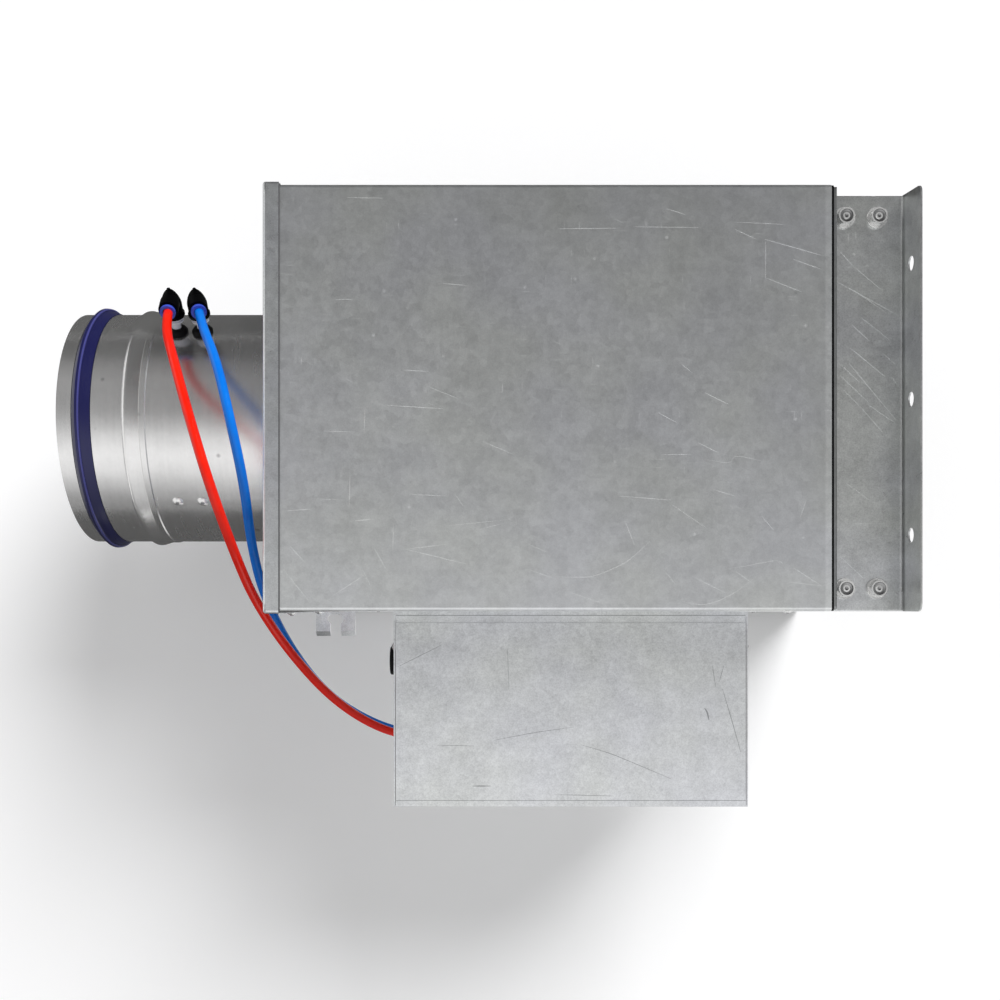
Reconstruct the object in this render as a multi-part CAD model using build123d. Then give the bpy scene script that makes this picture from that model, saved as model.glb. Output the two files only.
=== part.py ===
from build123d import *
import os
from math import acos, atan2, cos, degrees, pi, radians, sin, sqrt, tan

# Variable air volume terminal box, in millimetres.
# Origin: centre of the inlet spigot's mouth. +X along the airflow, +Z up, +Y to the left
# of the airflow. The control box is on the right-hand side, at -Y.

# Sheet metal
sheet = 1.0
fold_radius = 2.0
fold_gap = 0.3
press_gap = 0.05
running_gap = 0.05
swing_gap = 0.3

# Inlet duct, of which the spigot is the part outside the casing
duct_radius = 79.0
duct_wall = 1.0
spigot_reach = 142.0
groove_start = 9.5
groove_width = 12.5
groove_depth = 3.0
seal_lip_rise = 4.3
bead_start = 41.8
bead_width = 15.4
bead_height = 2.6

# Flow sensor: two crosses of hollow-looking arms, their taps and the two elbows
sensor_x = 72.0
sensor_pitch = 16.5
arm_width = 12.0
arm_thickness = 4.0
tap_angle = 45.0
tap_depth = 3.2
pressure_hole_radius = 1.0
pressure_hole_spacing = 18.0
stem_radius = 3.0
stem_length = 21.2
grommet_hole_radius = 4.5
grommet_lip_radius = 6.8
grommet_rise = 4.0
seal_ring_radius = 5.6
seal_ring_start = 9.0
seal_ring_height = 3.0
elbow_radius = 6.2
elbow_centre_rise = 24.0
elbow_cap_height = 8.2
elbow_tip_radius = 1.1
elbow_neck_radius = 5.65
elbow_sleeve_start = 4.0
elbow_arm_length = 13.0
high_elbow_swivel = 4.0
low_elbow_swivel = 16.0
tube_radius = 3.0
tube_insertion = 9.1
tube_gap = 0.15
collet_head_radius = 4.9
collet_head_thickness = 2.0
collet_sleeve_wall = 1.15
collet_sleeve_length = 6.0
collet_travel = 1.0

# Casing
casing_length = 344.0
casing_width = 256.0
casing_height = 254.0
rim_width = 9.5
rim_fold_radius = 1.8
rim_slit_width = 0.5
rim_slit_length = 5.5
wrap_fold_radius = 2.4
wrap_end_gap = 1.5
wall_foot_rise = 0.5
tray_lip = 10.0
tray_side_gap = 0.5
strip_lip = 2.0
strip_drop = 0.5
strip_side_drop = 1.2
strip_corner_radius = 2.0
strip_fold_radius = 1.2
liner_thickness = 13.0
lap = 20.0

# Outlet neck
neck_height = 214.0
neck_length = 47.0
neck_edge_radius = 0.9
neck_fold_radius = 2.0
neck_flange_rise = 30.0
flange_corner_radius = 5.0
flange_corner_taper = 4.0
return_flange = 20.0
flange_hole_radius = 4.5
flange_hole_pitch = 82.0
flange_hole_rise = 14.0
neck_bolt_x = (10.0, 30.0)
neck_bolt_inset = 14.0
bolt_radius = 3.0
bolt_length = 12.0
bolt_hex_flats = 10.0
bolt_hex_height = 4.2
bolt_washer_radius = 6.5
bolt_washer_thickness = 1.6
nut_height = 5.0
notch_x = 28.0
notch_depth = 1.5

# Rivets
rivet_head_radius = 3.3
rivet_head_height = 1.5
rivet_shank_radius = 1.6
sensor_rivet_head_radius = 3.7
sensor_rivet_head_height = 1.9
tray_rivets_per_side = 4
tray_rivet_front = 45.0
tray_rivet_back = 60.0

# Hanger brackets
bracket_thickness = 2.0
bracket_width = 31.4
bracket_reach = 21.0
bracket_leg = 21.0
bracket_lip_reach = 3.8
bracket_lip_drop = 4.2
bracket_height = 22.0
bracket_near_offset = 12.5
bracket_far_offset = 28.0
bracket_rivet_pitch = 9.0
keyhole_start = 3.5
keyhole_width = 12.6
keyhole_length = 7.6
keyhole_corner = 3.4
keyhole_slot_width = 8.5

# Damper
damper_setback = 156.0
blade_gap = 0.5
blade_seal_gap = 0.3
blade_thickness = 1.2
blade_seal_thickness = 2.0
shaft_radius = 6.0
shaft_far_overhang = 13.0
bearing_radius = 9.0
bearing_length = 9.8
bearing_flange_radius = 14.0
bearing_flange_thickness = 4.0
wall_bush_radius = 9.5
wall_bush_nose = 7.0
wall_bush_flange_radius = 13.0
wall_bush_flange = 3.0
hump_inset = 5.5
blade_rivet_y = 42.0
blade_rivet_z = 15.0
duct_end_margin = 3.0

# Control box
box_start = 74.0
box_length = 228.0
box_depth = 126.0
box_height = 150.0
box_strip = 25.0
box_strip_seen = 7.7
box_strip_step = 2.5
box_tab = 12.0
box_return = 12.0
box_cover_gap = 0.3
cover_screw_z = 55.0
cover_screw_inset = 7.0
cover_screw_radius = 2.0
cover_screw_length = 8.0
cover_screw_head_radius = 4.0
cover_screw_head_height = 2.2
cover_travel = 140.0
cable_grommet_radius = 9.55
cable_grommet_proud = 4.2
cable_grommet_y = 33.0
cable_grommet_z = 48.0
tube_grommet_radius = 6.5
tube_grommet_bore = 4.4
tube_grommet_lip = 2.0

# Controller with its damper drive
controller_start = 40.0
controller_length = 156.0
controller_top = 32.0
controller_bottom = 66.0
controller_standoff = 21.0
controller_base_depth = 36.0
controller_lid_depth = 42.0
controller_wall = 2.5
foot_radius = 5.0
foot_inset = 10.0
boss_radius = 3.0
boss_inset = 12.0
hub_radius = 10.5
hub_hole_gap = 1.5
lid_opening_radius = 15.0
gear_module = 1.0
output_teeth = 48
small_teeth = 12
large_teeth = 36
pinion_teeth = 12
pressure_angle = 25.0
gear_addendum = 0.8
gear_dedendum = 1.1
gear_backlash = 0.12
gear_width = 6.0
gear_level = 29.5
wheel_width = 5.0
wheel_level = 23.5
axle_radius = 2.0
axle_shoulder_radius = 4.0
motor_radius = 12.0
motor_length = 20.0
motor_shaft_radius = 1.5
motor_shaft_length = 14.0
board_level = 47.5
board_thickness = 1.6
clamp_width = 26.0
clamp_depth = 10.0
clamp_drop = 15.0
clamp_gap = 2.0
u_bolt_radius = 2.0
u_bolt_drop = 22.0
clamp_nut_flats = 7.0
clamp_nut_height = 3.2
indicator_radius = 9.0
indicator_reach = 20.0
indicator_width = 4.0
indicator_thickness = 4.0
shaft_past_clamp = 2.0
button_radius = 6.0
button_proud = 3.0
button_x = 129.0
button_z = -30.0
button_travel = 2.5
nipple_radius = 4.0
nipple_length = 10.0
nipple_depth = 6.0
terminal_x = 69.0
terminal_length = 40.0
terminal_width = 21.0
terminal_height = 14.4
anti_rotation_thickness = 1.5
anti_rotation_width = 30.0
anti_rotation_reach = 49.0
anti_rotation_foot = 18.0

# Tubes, as the guide points of each route from its elbow to its nipple
red_route = [
    (72.28, 70.01, 75.65),
    (74.16, 50.96, 94.70),
    (87.0, 24.0, 121.0),
    (103.0, -15.0, 146.0),
    (117.0, -56.0, 154.0),
    (124.0, -94.0, 120.0),
    (126.5, -122.0, 73.0),
    (140.0, -156.5, 24.0),
    (162.5, -190.0, -12.0),
    (190.0, -212.0, -30.0),
    (218.0, -222.0, -36.0),
    (246.0, -222.0, -36.0),
]
blue_route = [
    (89.60, 70.11, 75.55),
    (97.04, 51.76, 93.90),
    (112.0, 25.0, 119.0),
    (124.0, -12.0, 136.0),
    (130.0, -52.0, 122.0),
    (126.5, -85.0, 86.0),
    (126.5, -118.0, 45.0),
    (137.0, -156.0, -1.0),
    (158.0, -191.0, -36.0),
    (188.0, -212.0, -50.0),
    (218.0, -222.0, -56.0),
    (246.0, -222.0, -56.0),
]

# Places worked out from the sizes above
half_width = casing_width / 2
half_height = casing_height / 2
casing_front = spigot_reach
casing_back = casing_front + casing_length
wrap_back = casing_back - strip_lip - wrap_end_gap
neck_half = neck_height / 2
neck_end = casing_back + neck_length
groove_end = groove_start + groove_width
bore_radius = duct_radius - duct_wall
shaft_x = casing_front + damper_setback
duct_end = shaft_x + bore_radius + duct_end_margin
sensor_places = (sensor_x, sensor_x + sensor_pitch)
box_near = casing_front + box_start
box_far = box_near + box_length
box_back = -half_width
box_front = box_back - box_depth
box_half = box_height / 2
box_floor = box_back - sheet
controller_near = box_near + controller_start
controller_far = controller_near + controller_length
controller_back = box_floor - controller_standoff
controller_split = controller_back - controller_base_depth
controller_front = controller_split - controller_lid_depth
nipple_y = controller_front + nipple_depth
idler_x = shaft_x + gear_module * (output_teeth + small_teeth) / 2
motor_x = idler_x + gear_module * (large_teeth + pinion_teeth) / 2
clamp_back = controller_front - clamp_gap
clamp_front = clamp_back - clamp_depth
shaft_end = clamp_front - shaft_past_clamp

os.makedirs("parts", exist_ok=True)
made = []


def save(name, shape):
    """Write one named piece, or one group of alike pieces."""
    made.append(name)
    export_step(shape, "parts/" + name + ".step")


def block(x, y, z):
    """Block between the two limits given on each axis, in either order."""
    lows = [min(pair) for pair in (x, y, z)]
    sizes = [abs(pair[1] - pair[0]) for pair in (x, y, z)]
    middle = [low + size / 2 for low, size in zip(lows, sizes)]
    return Pos(*middle) * Box(*sizes)


def rod_x(radius, start, end, y=0.0, z=0.0):
    return Pos((start + end) / 2, y, z) * Rot(0, 90, 0) * Cylinder(radius, abs(end - start))


def rod_y(radius, start, end, x=0.0, z=0.0):
    return Pos(x, (start + end) / 2, z) * Rot(90, 0, 0) * Cylinder(radius, abs(end - start))


def rod_z(radius, start, end, x=0.0, y=0.0):
    return Pos(x, y, (start + end) / 2) * Cylinder(radius, abs(end - start))


def group(shapes):
    """Several separate pieces of one kind."""
    solids = []
    for shape in shapes:
        solids.extend(shape.solids())
    return Compound(children=solids)


def radial(x, angle):
    """Frame at the duct's axis whose Z points out at an angle from +Y towards +Z."""
    return Pos(x, 0, 0) * Rot(angle - 90, 0, 0)


def mirror_y(shape):
    return shape.mirror(Plane.XZ)


def turned(points, axis):
    """Ring turned from a closed outline about an axis of the outline's plane."""
    return revolve(make_face(Polyline(*points, close=True)), axis=axis)


def dome(radius, height):
    """Domed rivet head standing on the XY plane."""
    ball = (radius ** 2 + height ** 2) / (2 * height)
    cap = Pos(0, 0, height - ball) * Sphere(ball)
    return cap & Pos(0, 0, height / 2) * Box(3 * radius, 3 * radius, height)


def rivet(head_radius, head_height, grip):
    """Blind rivet: head above the XY plane, shank through the grip below it."""
    shank = Pos(0, 0, -grip / 2) * Cylinder(rivet_shank_radius, grip)
    return dome(head_radius, head_height) + shank


def sheet_rivet(place, grip):
    return place * rivet(rivet_head_radius, rivet_head_height, grip)


# Inlet duct

# Bead's outline, as shares of its width and height
bead_crest = [
    (0.0, 0.0),
    (0.03, 0.54),
    (0.09, 0.885),
    (0.162, 1.0),
    (0.273, 0.92),
    (0.403, 0.69),
    (0.565, 0.385),
    (0.682, 0.21),
    (0.714, 0.135),
]
bead_step = [
    (0.714, 0.135),
    (0.74, 0.27),
    (0.96, 0.27),
    (1.0, 0.0),
]


def bead_profile(inset):
    """Half section of the bead: a steep front, a long back slope and a low step."""
    start = bead_start + inset * 0.8
    width = bead_width - inset * 1.6
    skin = duct_radius - inset
    crest = [(start + share * width, skin + rise * bead_height) for share, rise in bead_crest]
    step = [(start + share * width, skin + rise * bead_height) for share, rise in bead_step]
    foot = [(start + width, skin - duct_wall), (start, skin - duct_wall), (start, skin)]
    edges = Spline(*crest).edges() + Polyline(*step, *foot).edges()
    return make_face(edges)


def duct_profile(inset):
    """Half section between the duct's axis and its skin, drawn in by an inset."""
    skin = duct_radius - inset
    body = Pos(duct_end / 2, skin / 2) * Rectangle(duct_end, skin)
    cut = groove_depth + bead_height
    groove_middle = (groove_start + groove_end) / 2
    groove_skin = skin - groove_depth + cut / 2
    groove = Pos(groove_middle, groove_skin) * Rectangle(groove_width + 2 * inset, cut)
    return body + bead_profile(inset) - groove


def make_duct():
    tube = revolve(duct_profile(0) - duct_profile(duct_wall), axis=Axis.X)
    for x in sensor_places:
        for turn in (0, 90, 180, 270):
            hole = grommet_hole_radius if turn == 0 else rivet_shank_radius + press_gap
            drill = Pos(0, 0, duct_radius) * Cylinder(hole, 6 * duct_wall)
            tube -= radial(x, tap_angle + turn) * drill
    reach = duct_radius + duct_wall
    tube -= rod_y(bearing_radius + press_gap, -reach, reach, shaft_x)
    return tube


def make_lip_seal():
    """Rubber seal with one tall lip near its front that leans back, and a low tail."""
    foot = duct_radius - groove_depth
    tip = duct_radius + seal_lip_rise
    front = groove_start + fold_gap
    back = groove_end - fold_gap
    outline = [
        (front, foot),
        (front, duct_radius),
        (front + 1.2, duct_radius + seal_lip_rise * 0.46),
        (front + 3.4, tip),
        (front + 4.6, tip - 0.1),
        (front + 6.0, duct_radius + seal_lip_rise * 0.6),
        (front + 9.0, duct_radius + seal_lip_rise * 0.37),
        (back, duct_radius + 0.4),
        (back, foot),
    ]
    return turned(outline, Axis.X)


# Flow sensor

def make_flow_cross(x, faces_flow):
    """Two flattened arms across the duct, one of them short of the wall at its tap."""
    cross = None
    for turn in (0, 90):
        top = bore_radius - (tap_depth if turn == 0 else press_gap)
        length = bore_radius - press_gap + top
        section = SlotOverall(arm_width, arm_thickness)
        arm = extrude(section, length / 2, both=True)
        arm = radial(x, tap_angle + turn) * Pos(0, 0, top - length / 2) * arm
        cross = arm if cross is None else cross + arm
    face = -1 if faces_flow else 1
    for turn in (0, 90, 180, 270):
        for step in (1, 2, 3):
            place = radial(x + face * arm_width / 2, tap_angle + turn)
            hole = Rot(0, 90, 0) * Cylinder(pressure_hole_radius, arm_thickness)
            cross -= place * Pos(0, 0, step * pressure_hole_spacing) * hole
        if turn:
            drill = Cylinder(rivet_shank_radius + press_gap, 2 * arm_thickness)
            cross -= radial(x, tap_angle + turn) * Pos(0, 0, bore_radius) * drill
    # A curved duct wall meets the flat arm ends, so the ends are rounded to it
    return cross & rod_x(bore_radius - press_gap, x - arm_width, x + arm_width)


def make_sensor_rivets():
    grip = duct_wall + 0.9 * arm_thickness
    one = rivet(sensor_rivet_head_radius, sensor_rivet_head_height, grip)
    places = [(x, turn) for x in sensor_places for turn in (90, 180, 270)]
    return group([radial(x, tap_angle + turn) * Pos(0, 0, duct_radius) * one for x, turn in places])


def tap_foot():
    return bore_radius - tap_depth


def make_tap_grommet(x):
    bore = stem_radius + press_gap
    inner_lip = bore_radius - 0.4
    outline = [
        (bore, inner_lip - 2.2),
        (grommet_lip_radius - 0.8, inner_lip - 2.2),
        (grommet_lip_radius - 0.8, inner_lip),
        (grommet_hole_radius - press_gap, inner_lip),
        (grommet_hole_radius - press_gap, duct_radius),
        (grommet_lip_radius, duct_radius),
        (grommet_lip_radius, duct_radius + 1.6),
        (grommet_lip_radius - 1.2, duct_radius + 3.2),
        (grommet_lip_radius - 2.6, duct_radius + grommet_rise),
        (bore, duct_radius + grommet_rise),
    ]
    ring = revolve(Plane.XZ * make_face(Polyline(*outline, close=True)), axis=Axis.Z)
    return radial(x, tap_angle) * ring


def make_tap_stem(x):
    foot = tap_foot()
    return radial(x, tap_angle) * rod_z(stem_radius, foot, foot + stem_length)


def make_seal_ring(x):
    """Two thin flanges with a groove between them, round the stem."""
    low = duct_radius + seal_ring_start
    bore = stem_radius + press_gap
    flange = seal_ring_height * 0.36
    ring = rod_z(seal_ring_radius, low, low + flange)
    ring += rod_z(seal_ring_radius - 1, low, low + seal_ring_height)
    ring += rod_z(seal_ring_radius, low + seal_ring_height - flange, low + seal_ring_height)
    return radial(x, tap_angle) * (ring - rod_z(bore, low - 1, low + seal_ring_height + 1))


def elbow_frame(x, swivel):
    """Frame at the elbow's bend, whose -Y points out of its tube port."""
    return radial(x, tap_angle) * Pos(0, 0, duct_radius + elbow_centre_rise) * Rot(0, 0, swivel)


# Elbow's cap, as shares of its radius and of its height above the bend
elbow_cap = [
    (1.03, -0.5),
    (1.0, -0.12),
    (0.84, 0.25),
    (0.58, 0.62),
    (0.32, 0.84),
]


def make_elbow(x, swivel):
    """Elbow with a pointed cap over its stem socket and a sleeve at its tube port."""
    low = seal_ring_start + seal_ring_height - elbow_centre_rise
    cap = [(elbow_radius * share, elbow_cap_height * rise) for share, rise in elbow_cap]
    tip = [cap[-1], (elbow_tip_radius, elbow_cap_height * 0.9), (elbow_tip_radius, elbow_cap_height),
           (0, elbow_cap_height), (0, low), (cap[0][0], low), cap[0]]
    edges = Spline(*cap).edges() + Polyline(*tip).edges()
    body = revolve(Plane.XZ * make_face(edges), axis=Axis.Z)
    body += Sphere(elbow_neck_radius) + rod_y(elbow_neck_radius, 0, -elbow_sleeve_start)
    body += rod_y(elbow_radius, -elbow_sleeve_start, -elbow_arm_length)
    body += Pos(0, 0, low + 2) * Cylinder(elbow_radius + 0.9, 1.6)
    stem_top = tap_foot() + stem_length - duct_radius - elbow_centre_rise
    body -= rod_z(stem_radius + press_gap, low - 1, stem_top)
    bore = tube_radius + tube_gap
    body -= rod_y(bore, -(elbow_arm_length - tube_insertion), -elbow_arm_length - 1)
    counterbore = collet_sleeve_length + collet_travel + 0.2
    sleeve = bore + collet_sleeve_wall + running_gap
    body -= rod_y(sleeve, -(elbow_arm_length - counterbore), -elbow_arm_length - 1)
    return elbow_frame(x, swivel) * body


def make_collet(x, swivel):
    bore = tube_radius + tube_gap
    sleeve = bore + collet_sleeve_wall
    head = elbow_arm_length + collet_travel + 0.2
    ring = rod_y(sleeve, -(elbow_arm_length - collet_sleeve_length), -head)
    ring += rod_y(collet_head_radius, -head, -head - collet_head_thickness)
    ring -= rod_y(bore, 0, -head - collet_head_thickness - 1)
    return elbow_frame(x, swivel) * ring


# Tubes

def tube_path(points):
    """Straight runs joined by arcs as large as the shorter run allows; prints the radii."""
    radii = []
    for before, here, after in zip(points, points[1:], points[2:]):
        arriving = Vector(*here) - Vector(*before)
        leaving = Vector(*after) - Vector(*here)
        shorter = min(arriving.length, leaving.length)
        turn = radians(arriving.get_angle(leaving))
        radii.append(0.45 * shorter / tan(turn / 2))
    print("arc radii", [round(radius, 1) for radius in radii])
    return FilletPolyline(*points, radius=radii)


def make_tube(name, path):
    start = Plane(origin=path @ 0, z_dir=path % 0)
    tube = sweep(start * Circle(tube_radius), path=path)
    expected = pi * tube_radius ** 2 * path.length
    print(name, "length", round(path.length, 1), "volume ratio", round(tube.volume / expected, 4))
    return tube


def crossing(path, x):
    """Point where the last part of a path passes a given X."""
    low, high = 0.5, 1.0
    for _ in range(40):
        middle = (low + high) / 2
        if (path @ middle).X < x:
            low = middle
        else:
            high = middle
    return path @ high


# Casing

def tray_rivet_xs():
    first = casing_front + tray_rivet_front
    last = casing_back - tray_rivet_back
    step = (last - first) / (tray_rivets_per_side - 1)
    return [first + i * step for i in range(tray_rivets_per_side)]


def tray_rivet_z():
    return tray_lip / 2 - half_height


def side_place(x, side, z, y=half_width):
    """Frame on a side wall whose Z points out of the casing."""
    return Pos(x, side * y, z) * Rot(-90 * side, 0, 0)


def bracket_places():
    near = casing_front + bracket_near_offset
    far = casing_back - bracket_far_offset
    return [(near, 1), (near, -1), (far, 1), (far, -1)]


def bracket_leg_start():
    """Where a bracket's leg starts from its middle, so that it clears the panel's rim."""
    return rim_width + fold_gap - bracket_near_offset


def bracket_rivets():
    level = -half_height + bracket_height - bracket_leg * 0.4
    middle = (bracket_leg_start() + bracket_width / 2) / 2
    found = []
    for x, side in bracket_places():
        for shift in (-bracket_rivet_pitch / 2, bracket_rivet_pitch / 2):
            found.append((x + middle + shift, side, level))
    return found


def neck_side_rivets():
    return [(casing_back - lap / 2, side, z) for side in (1, -1) for z in (50, -50)]


def rim_rivets():
    return [(casing_front + rim_width * 0.62, side, z) for side in (1, -1) for z in (60, -60)]


def box_back_rivets():
    return [(x, z) for x in (box_near + 14, box_far - 14) for z in (60, -60)]


def box_tab_rivets():
    """Rivets through the control box's end walls, as X place, outward sign and Z."""
    z = box_half - sheet - box_cover_gap - box_tab * 0.5
    return [(x, out, z * up) for x, out in ((box_near, -1), (box_far, 1)) for up in (1, -1)]


def box_tab_rivet_y():
    return box_back - box_strip + 2


def side_holes():
    """Rivet holes through both side walls, as X, side and Z."""
    tray = [(x, side, tray_rivet_z()) for x in tray_rivet_xs() for side in (1, -1)]
    box = [(x, -1, z) for x, z in box_back_rivets()]
    return tray + bracket_rivets() + neck_side_rivets() + rim_rivets() + box


def drill_side(x, side, z, low, high):
    """Rivet hole through what lies between two distances from the middle plane."""
    return rod_y(rivet_shank_radius + press_gap, side * low, side * high, x, z)


def make_casing_wrap():
    """Top and both sides, folded from one sheet; beside the neck the sides run on to the end."""
    front = casing_front + sheet
    foot = wall_foot_rise - half_height
    inner_half = half_width - sheet
    outer = block((front, wrap_back), (-half_width, half_width), (foot, half_height))
    outer = fillet(outer.edges().filter_by(Axis.X).group_by(Axis.Z)[-1], wrap_fold_radius)
    inner = block((front - 1, wrap_back + 1), (-inner_half, inner_half), (foot - 1, half_height - sheet))
    inner = fillet(inner.edges().filter_by(Axis.X).group_by(Axis.Z)[-1], wrap_fold_radius - sheet)
    wrap = outer - inner
    for side in (1, -1):
        wrap += block((wrap_back - 1, casing_back), (side * inner_half, side * half_width),
                      (-neck_half, neck_half))
    for x, side, z in side_holes():
        wrap -= drill_side(x, side, z, half_width - 2 * sheet, half_width + sheet)
    wrap -= rod_y(wall_bush_radius + press_gap, -half_width - 1, -half_width + 2 * sheet, shaft_x)
    return wrap


def make_bottom_tray():
    """Bottom with a lip up each side and up the outlet end, inside the wrap."""
    front = casing_front + sheet
    half = half_width - sheet - tray_side_gap
    outer = block((front, wrap_back), (-half, half), (-half_height, tray_lip - half_height))
    corners = outer.edges().filter_by(Axis.Z).group_by(Axis.X)[-1]
    outer = fillet(corners, fold_radius + sheet)
    rounds = outer.faces().sort_by(Axis.Z)[0].edges()
    rounds = [edge for edge in rounds if edge.center().X > front + 0.1]
    outer = fillet(rounds, fold_radius)
    inner_half = half - sheet
    inner = block((front - 1, wrap_back - sheet), (-inner_half, inner_half), (sheet - half_height, 0))
    tray = outer - inner
    for x in tray_rivet_xs():
        for side in (1, -1):
            tray -= drill_side(x, side, tray_rivet_z(), half - 3, half + 1)
    return tray


def make_end_panel():
    """Inlet end: a flat panel whose folded rim laps over the casing."""
    y = half_width + fold_gap + sheet
    z = half_height + fold_gap + sheet
    outer = block((casing_front, casing_front + rim_width), (-y, y), (-z, z))
    outer = fillet(outer.edges().filter_by(Axis.X), fold_radius)
    outer = fillet(outer.faces().sort_by(Axis.X)[0].edges(), rim_fold_radius)
    inner = block((casing_front + sheet, casing_front + rim_width + 1),
                  (sheet - y, y - sheet), (sheet - z, z - sheet))
    panel = outer - inner
    panel -= rod_x(duct_radius + press_gap, casing_front - 1, casing_front + 2 * sheet)
    for x, side, level in rim_rivets():
        panel -= drill_side(x, side, level, half_width, half_width + 4 * sheet)
    # Relief slits where the folds meet at the corners
    slit = (casing_front + 1.3 * sheet, casing_front + 1.3 * sheet + rim_slit_width)
    for side in (1, -1):
        for up in (1, -1):
            panel -= block(slit, (side * (y - rim_slit_length), side * (y + 1)),
                           (up * (z - 1.05 * sheet), up * (z + 1)))
    return panel


def make_end_strip(up):
    """Angle that closes the step between the casing and the neck, its edge turned in as a lip."""
    tip = half_height - strip_drop
    half = half_width - strip_side_drop
    strip = block((casing_back - sheet, casing_back), (-half, half), (up * neck_half, up * tip))
    strip += block((casing_back - strip_lip, casing_back), (-half, half), (up * (tip - sheet), up * tip))
    folds = [edge for edge in strip.edges().filter_by(Axis.Y)
             if abs(edge.center().X - casing_back) < 0.01 and abs(abs(edge.center().Z) - tip) < 0.01]
    strip = fillet(folds, strip_fold_radius)
    outline = block((casing_back - 2 * strip_lip, casing_back + 1), (-half, half), (up * neck_half, up * tip))
    corners = [edge for edge in outline.edges().filter_by(Axis.X) if abs(abs(edge.center().Z) - tip) < 0.01]
    strip &= fillet(corners, strip_corner_radius)
    flat_half = half_width - sheet - fold_gap
    return strip + block((casing_back - lap, casing_back - sheet), (-flat_half, flat_half),
                         (up * neck_half, up * (neck_half + sheet)))


def make_sheet_rivets():
    found = []
    tray_grip = 2 * sheet + tray_side_gap
    for x in tray_rivet_xs():
        for side in (1, -1):
            found.append(sheet_rivet(side_place(x, side, tray_rivet_z()), tray_grip))
    bracket_face = half_width + bracket_thickness
    for x, side, z in bracket_rivets():
        found.append(sheet_rivet(side_place(x, side, z, bracket_face), bracket_thickness + sheet))
    for x, side, z in neck_side_rivets():
        found.append(sheet_rivet(side_place(x, side, z), 2 * sheet))
    rim_face = half_width + fold_gap + sheet
    for x, side, z in rim_rivets():
        found.append(sheet_rivet(side_place(x, side, z, rim_face), 2 * sheet + fold_gap))
    for x, z in box_back_rivets():
        found.append(sheet_rivet(side_place(x, -1, z, half_width + sheet), 2 * sheet))
    for x, out, z in box_tab_rivets():
        place = Pos(x, box_tab_rivet_y(), z) * Rot(0, 90 * out, 0)
        found.append(sheet_rivet(place, 2 * sheet))
    return group(found)


# Outlet neck

def make_neck_plate(up):
    """Top or bottom of the neck, with the duct flange turned away from the airway."""
    low = up * (neck_half - sheet)
    high = up * neck_half
    tip = up * (neck_half + neck_flange_rise)
    tongue_half = half_width - 2 * sheet - fold_gap
    plate = block((casing_back, neck_end), (-half_width, half_width), (low, high))
    edges = [edge for edge in plate.edges().filter_by(Axis.X) if abs(abs(edge.center().Z) - neck_half) < 0.01]
    plate = fillet(edges, neck_edge_radius)
    plate += block((casing_back - lap, casing_back), (-tongue_half, tongue_half), (low, high))
    left = half_width
    foot = up * (neck_half - sheet)
    outline = [
        (-left, foot),
        (-left, tip),
        (left - flange_corner_taper, tip),
        (left, up * neck_half),
        (left, foot),
    ]
    wing = extrude(Plane.YZ * make_face(Polyline(*outline, close=True)), sheet)
    wing = Pos(neck_end - sheet, 0, 0) * wing
    tips = wing.edges().filter_by(Axis.X)
    tips = [edge for edge in tips if abs(edge.center().Z) > neck_half + neck_flange_rise / 2]
    wing = fillet(tips, flange_corner_radius)
    for y in (-flange_hole_pitch, 0, flange_hole_pitch):
        z = up * (neck_half + flange_hole_rise)
        wing -= rod_x(flange_hole_radius, neck_end - 3 * sheet, neck_end + sheet, y, z)
    plate += wing
    # Inside of the fold between the plate and its flange
    fold_half = half_width - neck_edge_radius
    fold_x = neck_end - sheet - neck_fold_radius
    fold_z = up * (neck_half + neck_fold_radius)
    fold = block((fold_x, neck_end - sheet), (-fold_half, fold_half), (high, fold_z))
    plate += fold - rod_y(neck_fold_radius, -half_width - 1, half_width + 1, fold_x, fold_z)
    for x, y in neck_bolt_places():
        plate -= rod_z(bolt_radius + press_gap, up * (neck_half - 2 * sheet), up * (neck_half + sheet), x, y)
    notch_place = Pos(casing_back + notch_x, half_width, 0) * Rot(0, 0, 45)
    return plate - notch_place * Box(notch_depth * sqrt(2), notch_depth * sqrt(2), casing_height)


def neck_bolt_places():
    y = half_width - neck_bolt_inset
    return [(casing_back + x, side * y) for x in neck_bolt_x for side in (1, -1)]


def make_neck_side(side):
    """Side of the neck: joggled into the casing, with a flange under each neck plate."""
    inner = half_width - sheet
    tall = neck_half - sheet
    web = block((casing_back, neck_end), (side * inner, side * half_width), (-tall, tall))
    web += block((casing_back - lap, casing_back + 3), (side * (inner - sheet), side * inner), (-tall, tall))
    for up in (1, -1):
        web += block((casing_back + 3, neck_end - sheet), (side * (inner - return_flange), side * inner),
                     (up * (tall - sheet), up * tall))
    for x, y in neck_bolt_places():
        if y * side > 0:
            web -= rod_z(bolt_radius + press_gap, -neck_half, neck_half, x, y)
    for x, rivet_side, z in neck_side_rivets():
        if rivet_side == side:
            web -= drill_side(x, side, z, inner - 2 * sheet, half_width)
    return web


def hexagon(flats, height):
    """Hexagonal prism on the XY plane, its top edges turned down to a round."""
    prism = extrude(RegularPolygon(flats / 2, 6, major_radius=False), height)
    taper = Pos(0, 0, height / 2 - flats * 0.05) * Cone(flats * 0.75, flats * 0.48, height + flats * 0.1)
    return prism & taper


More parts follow.
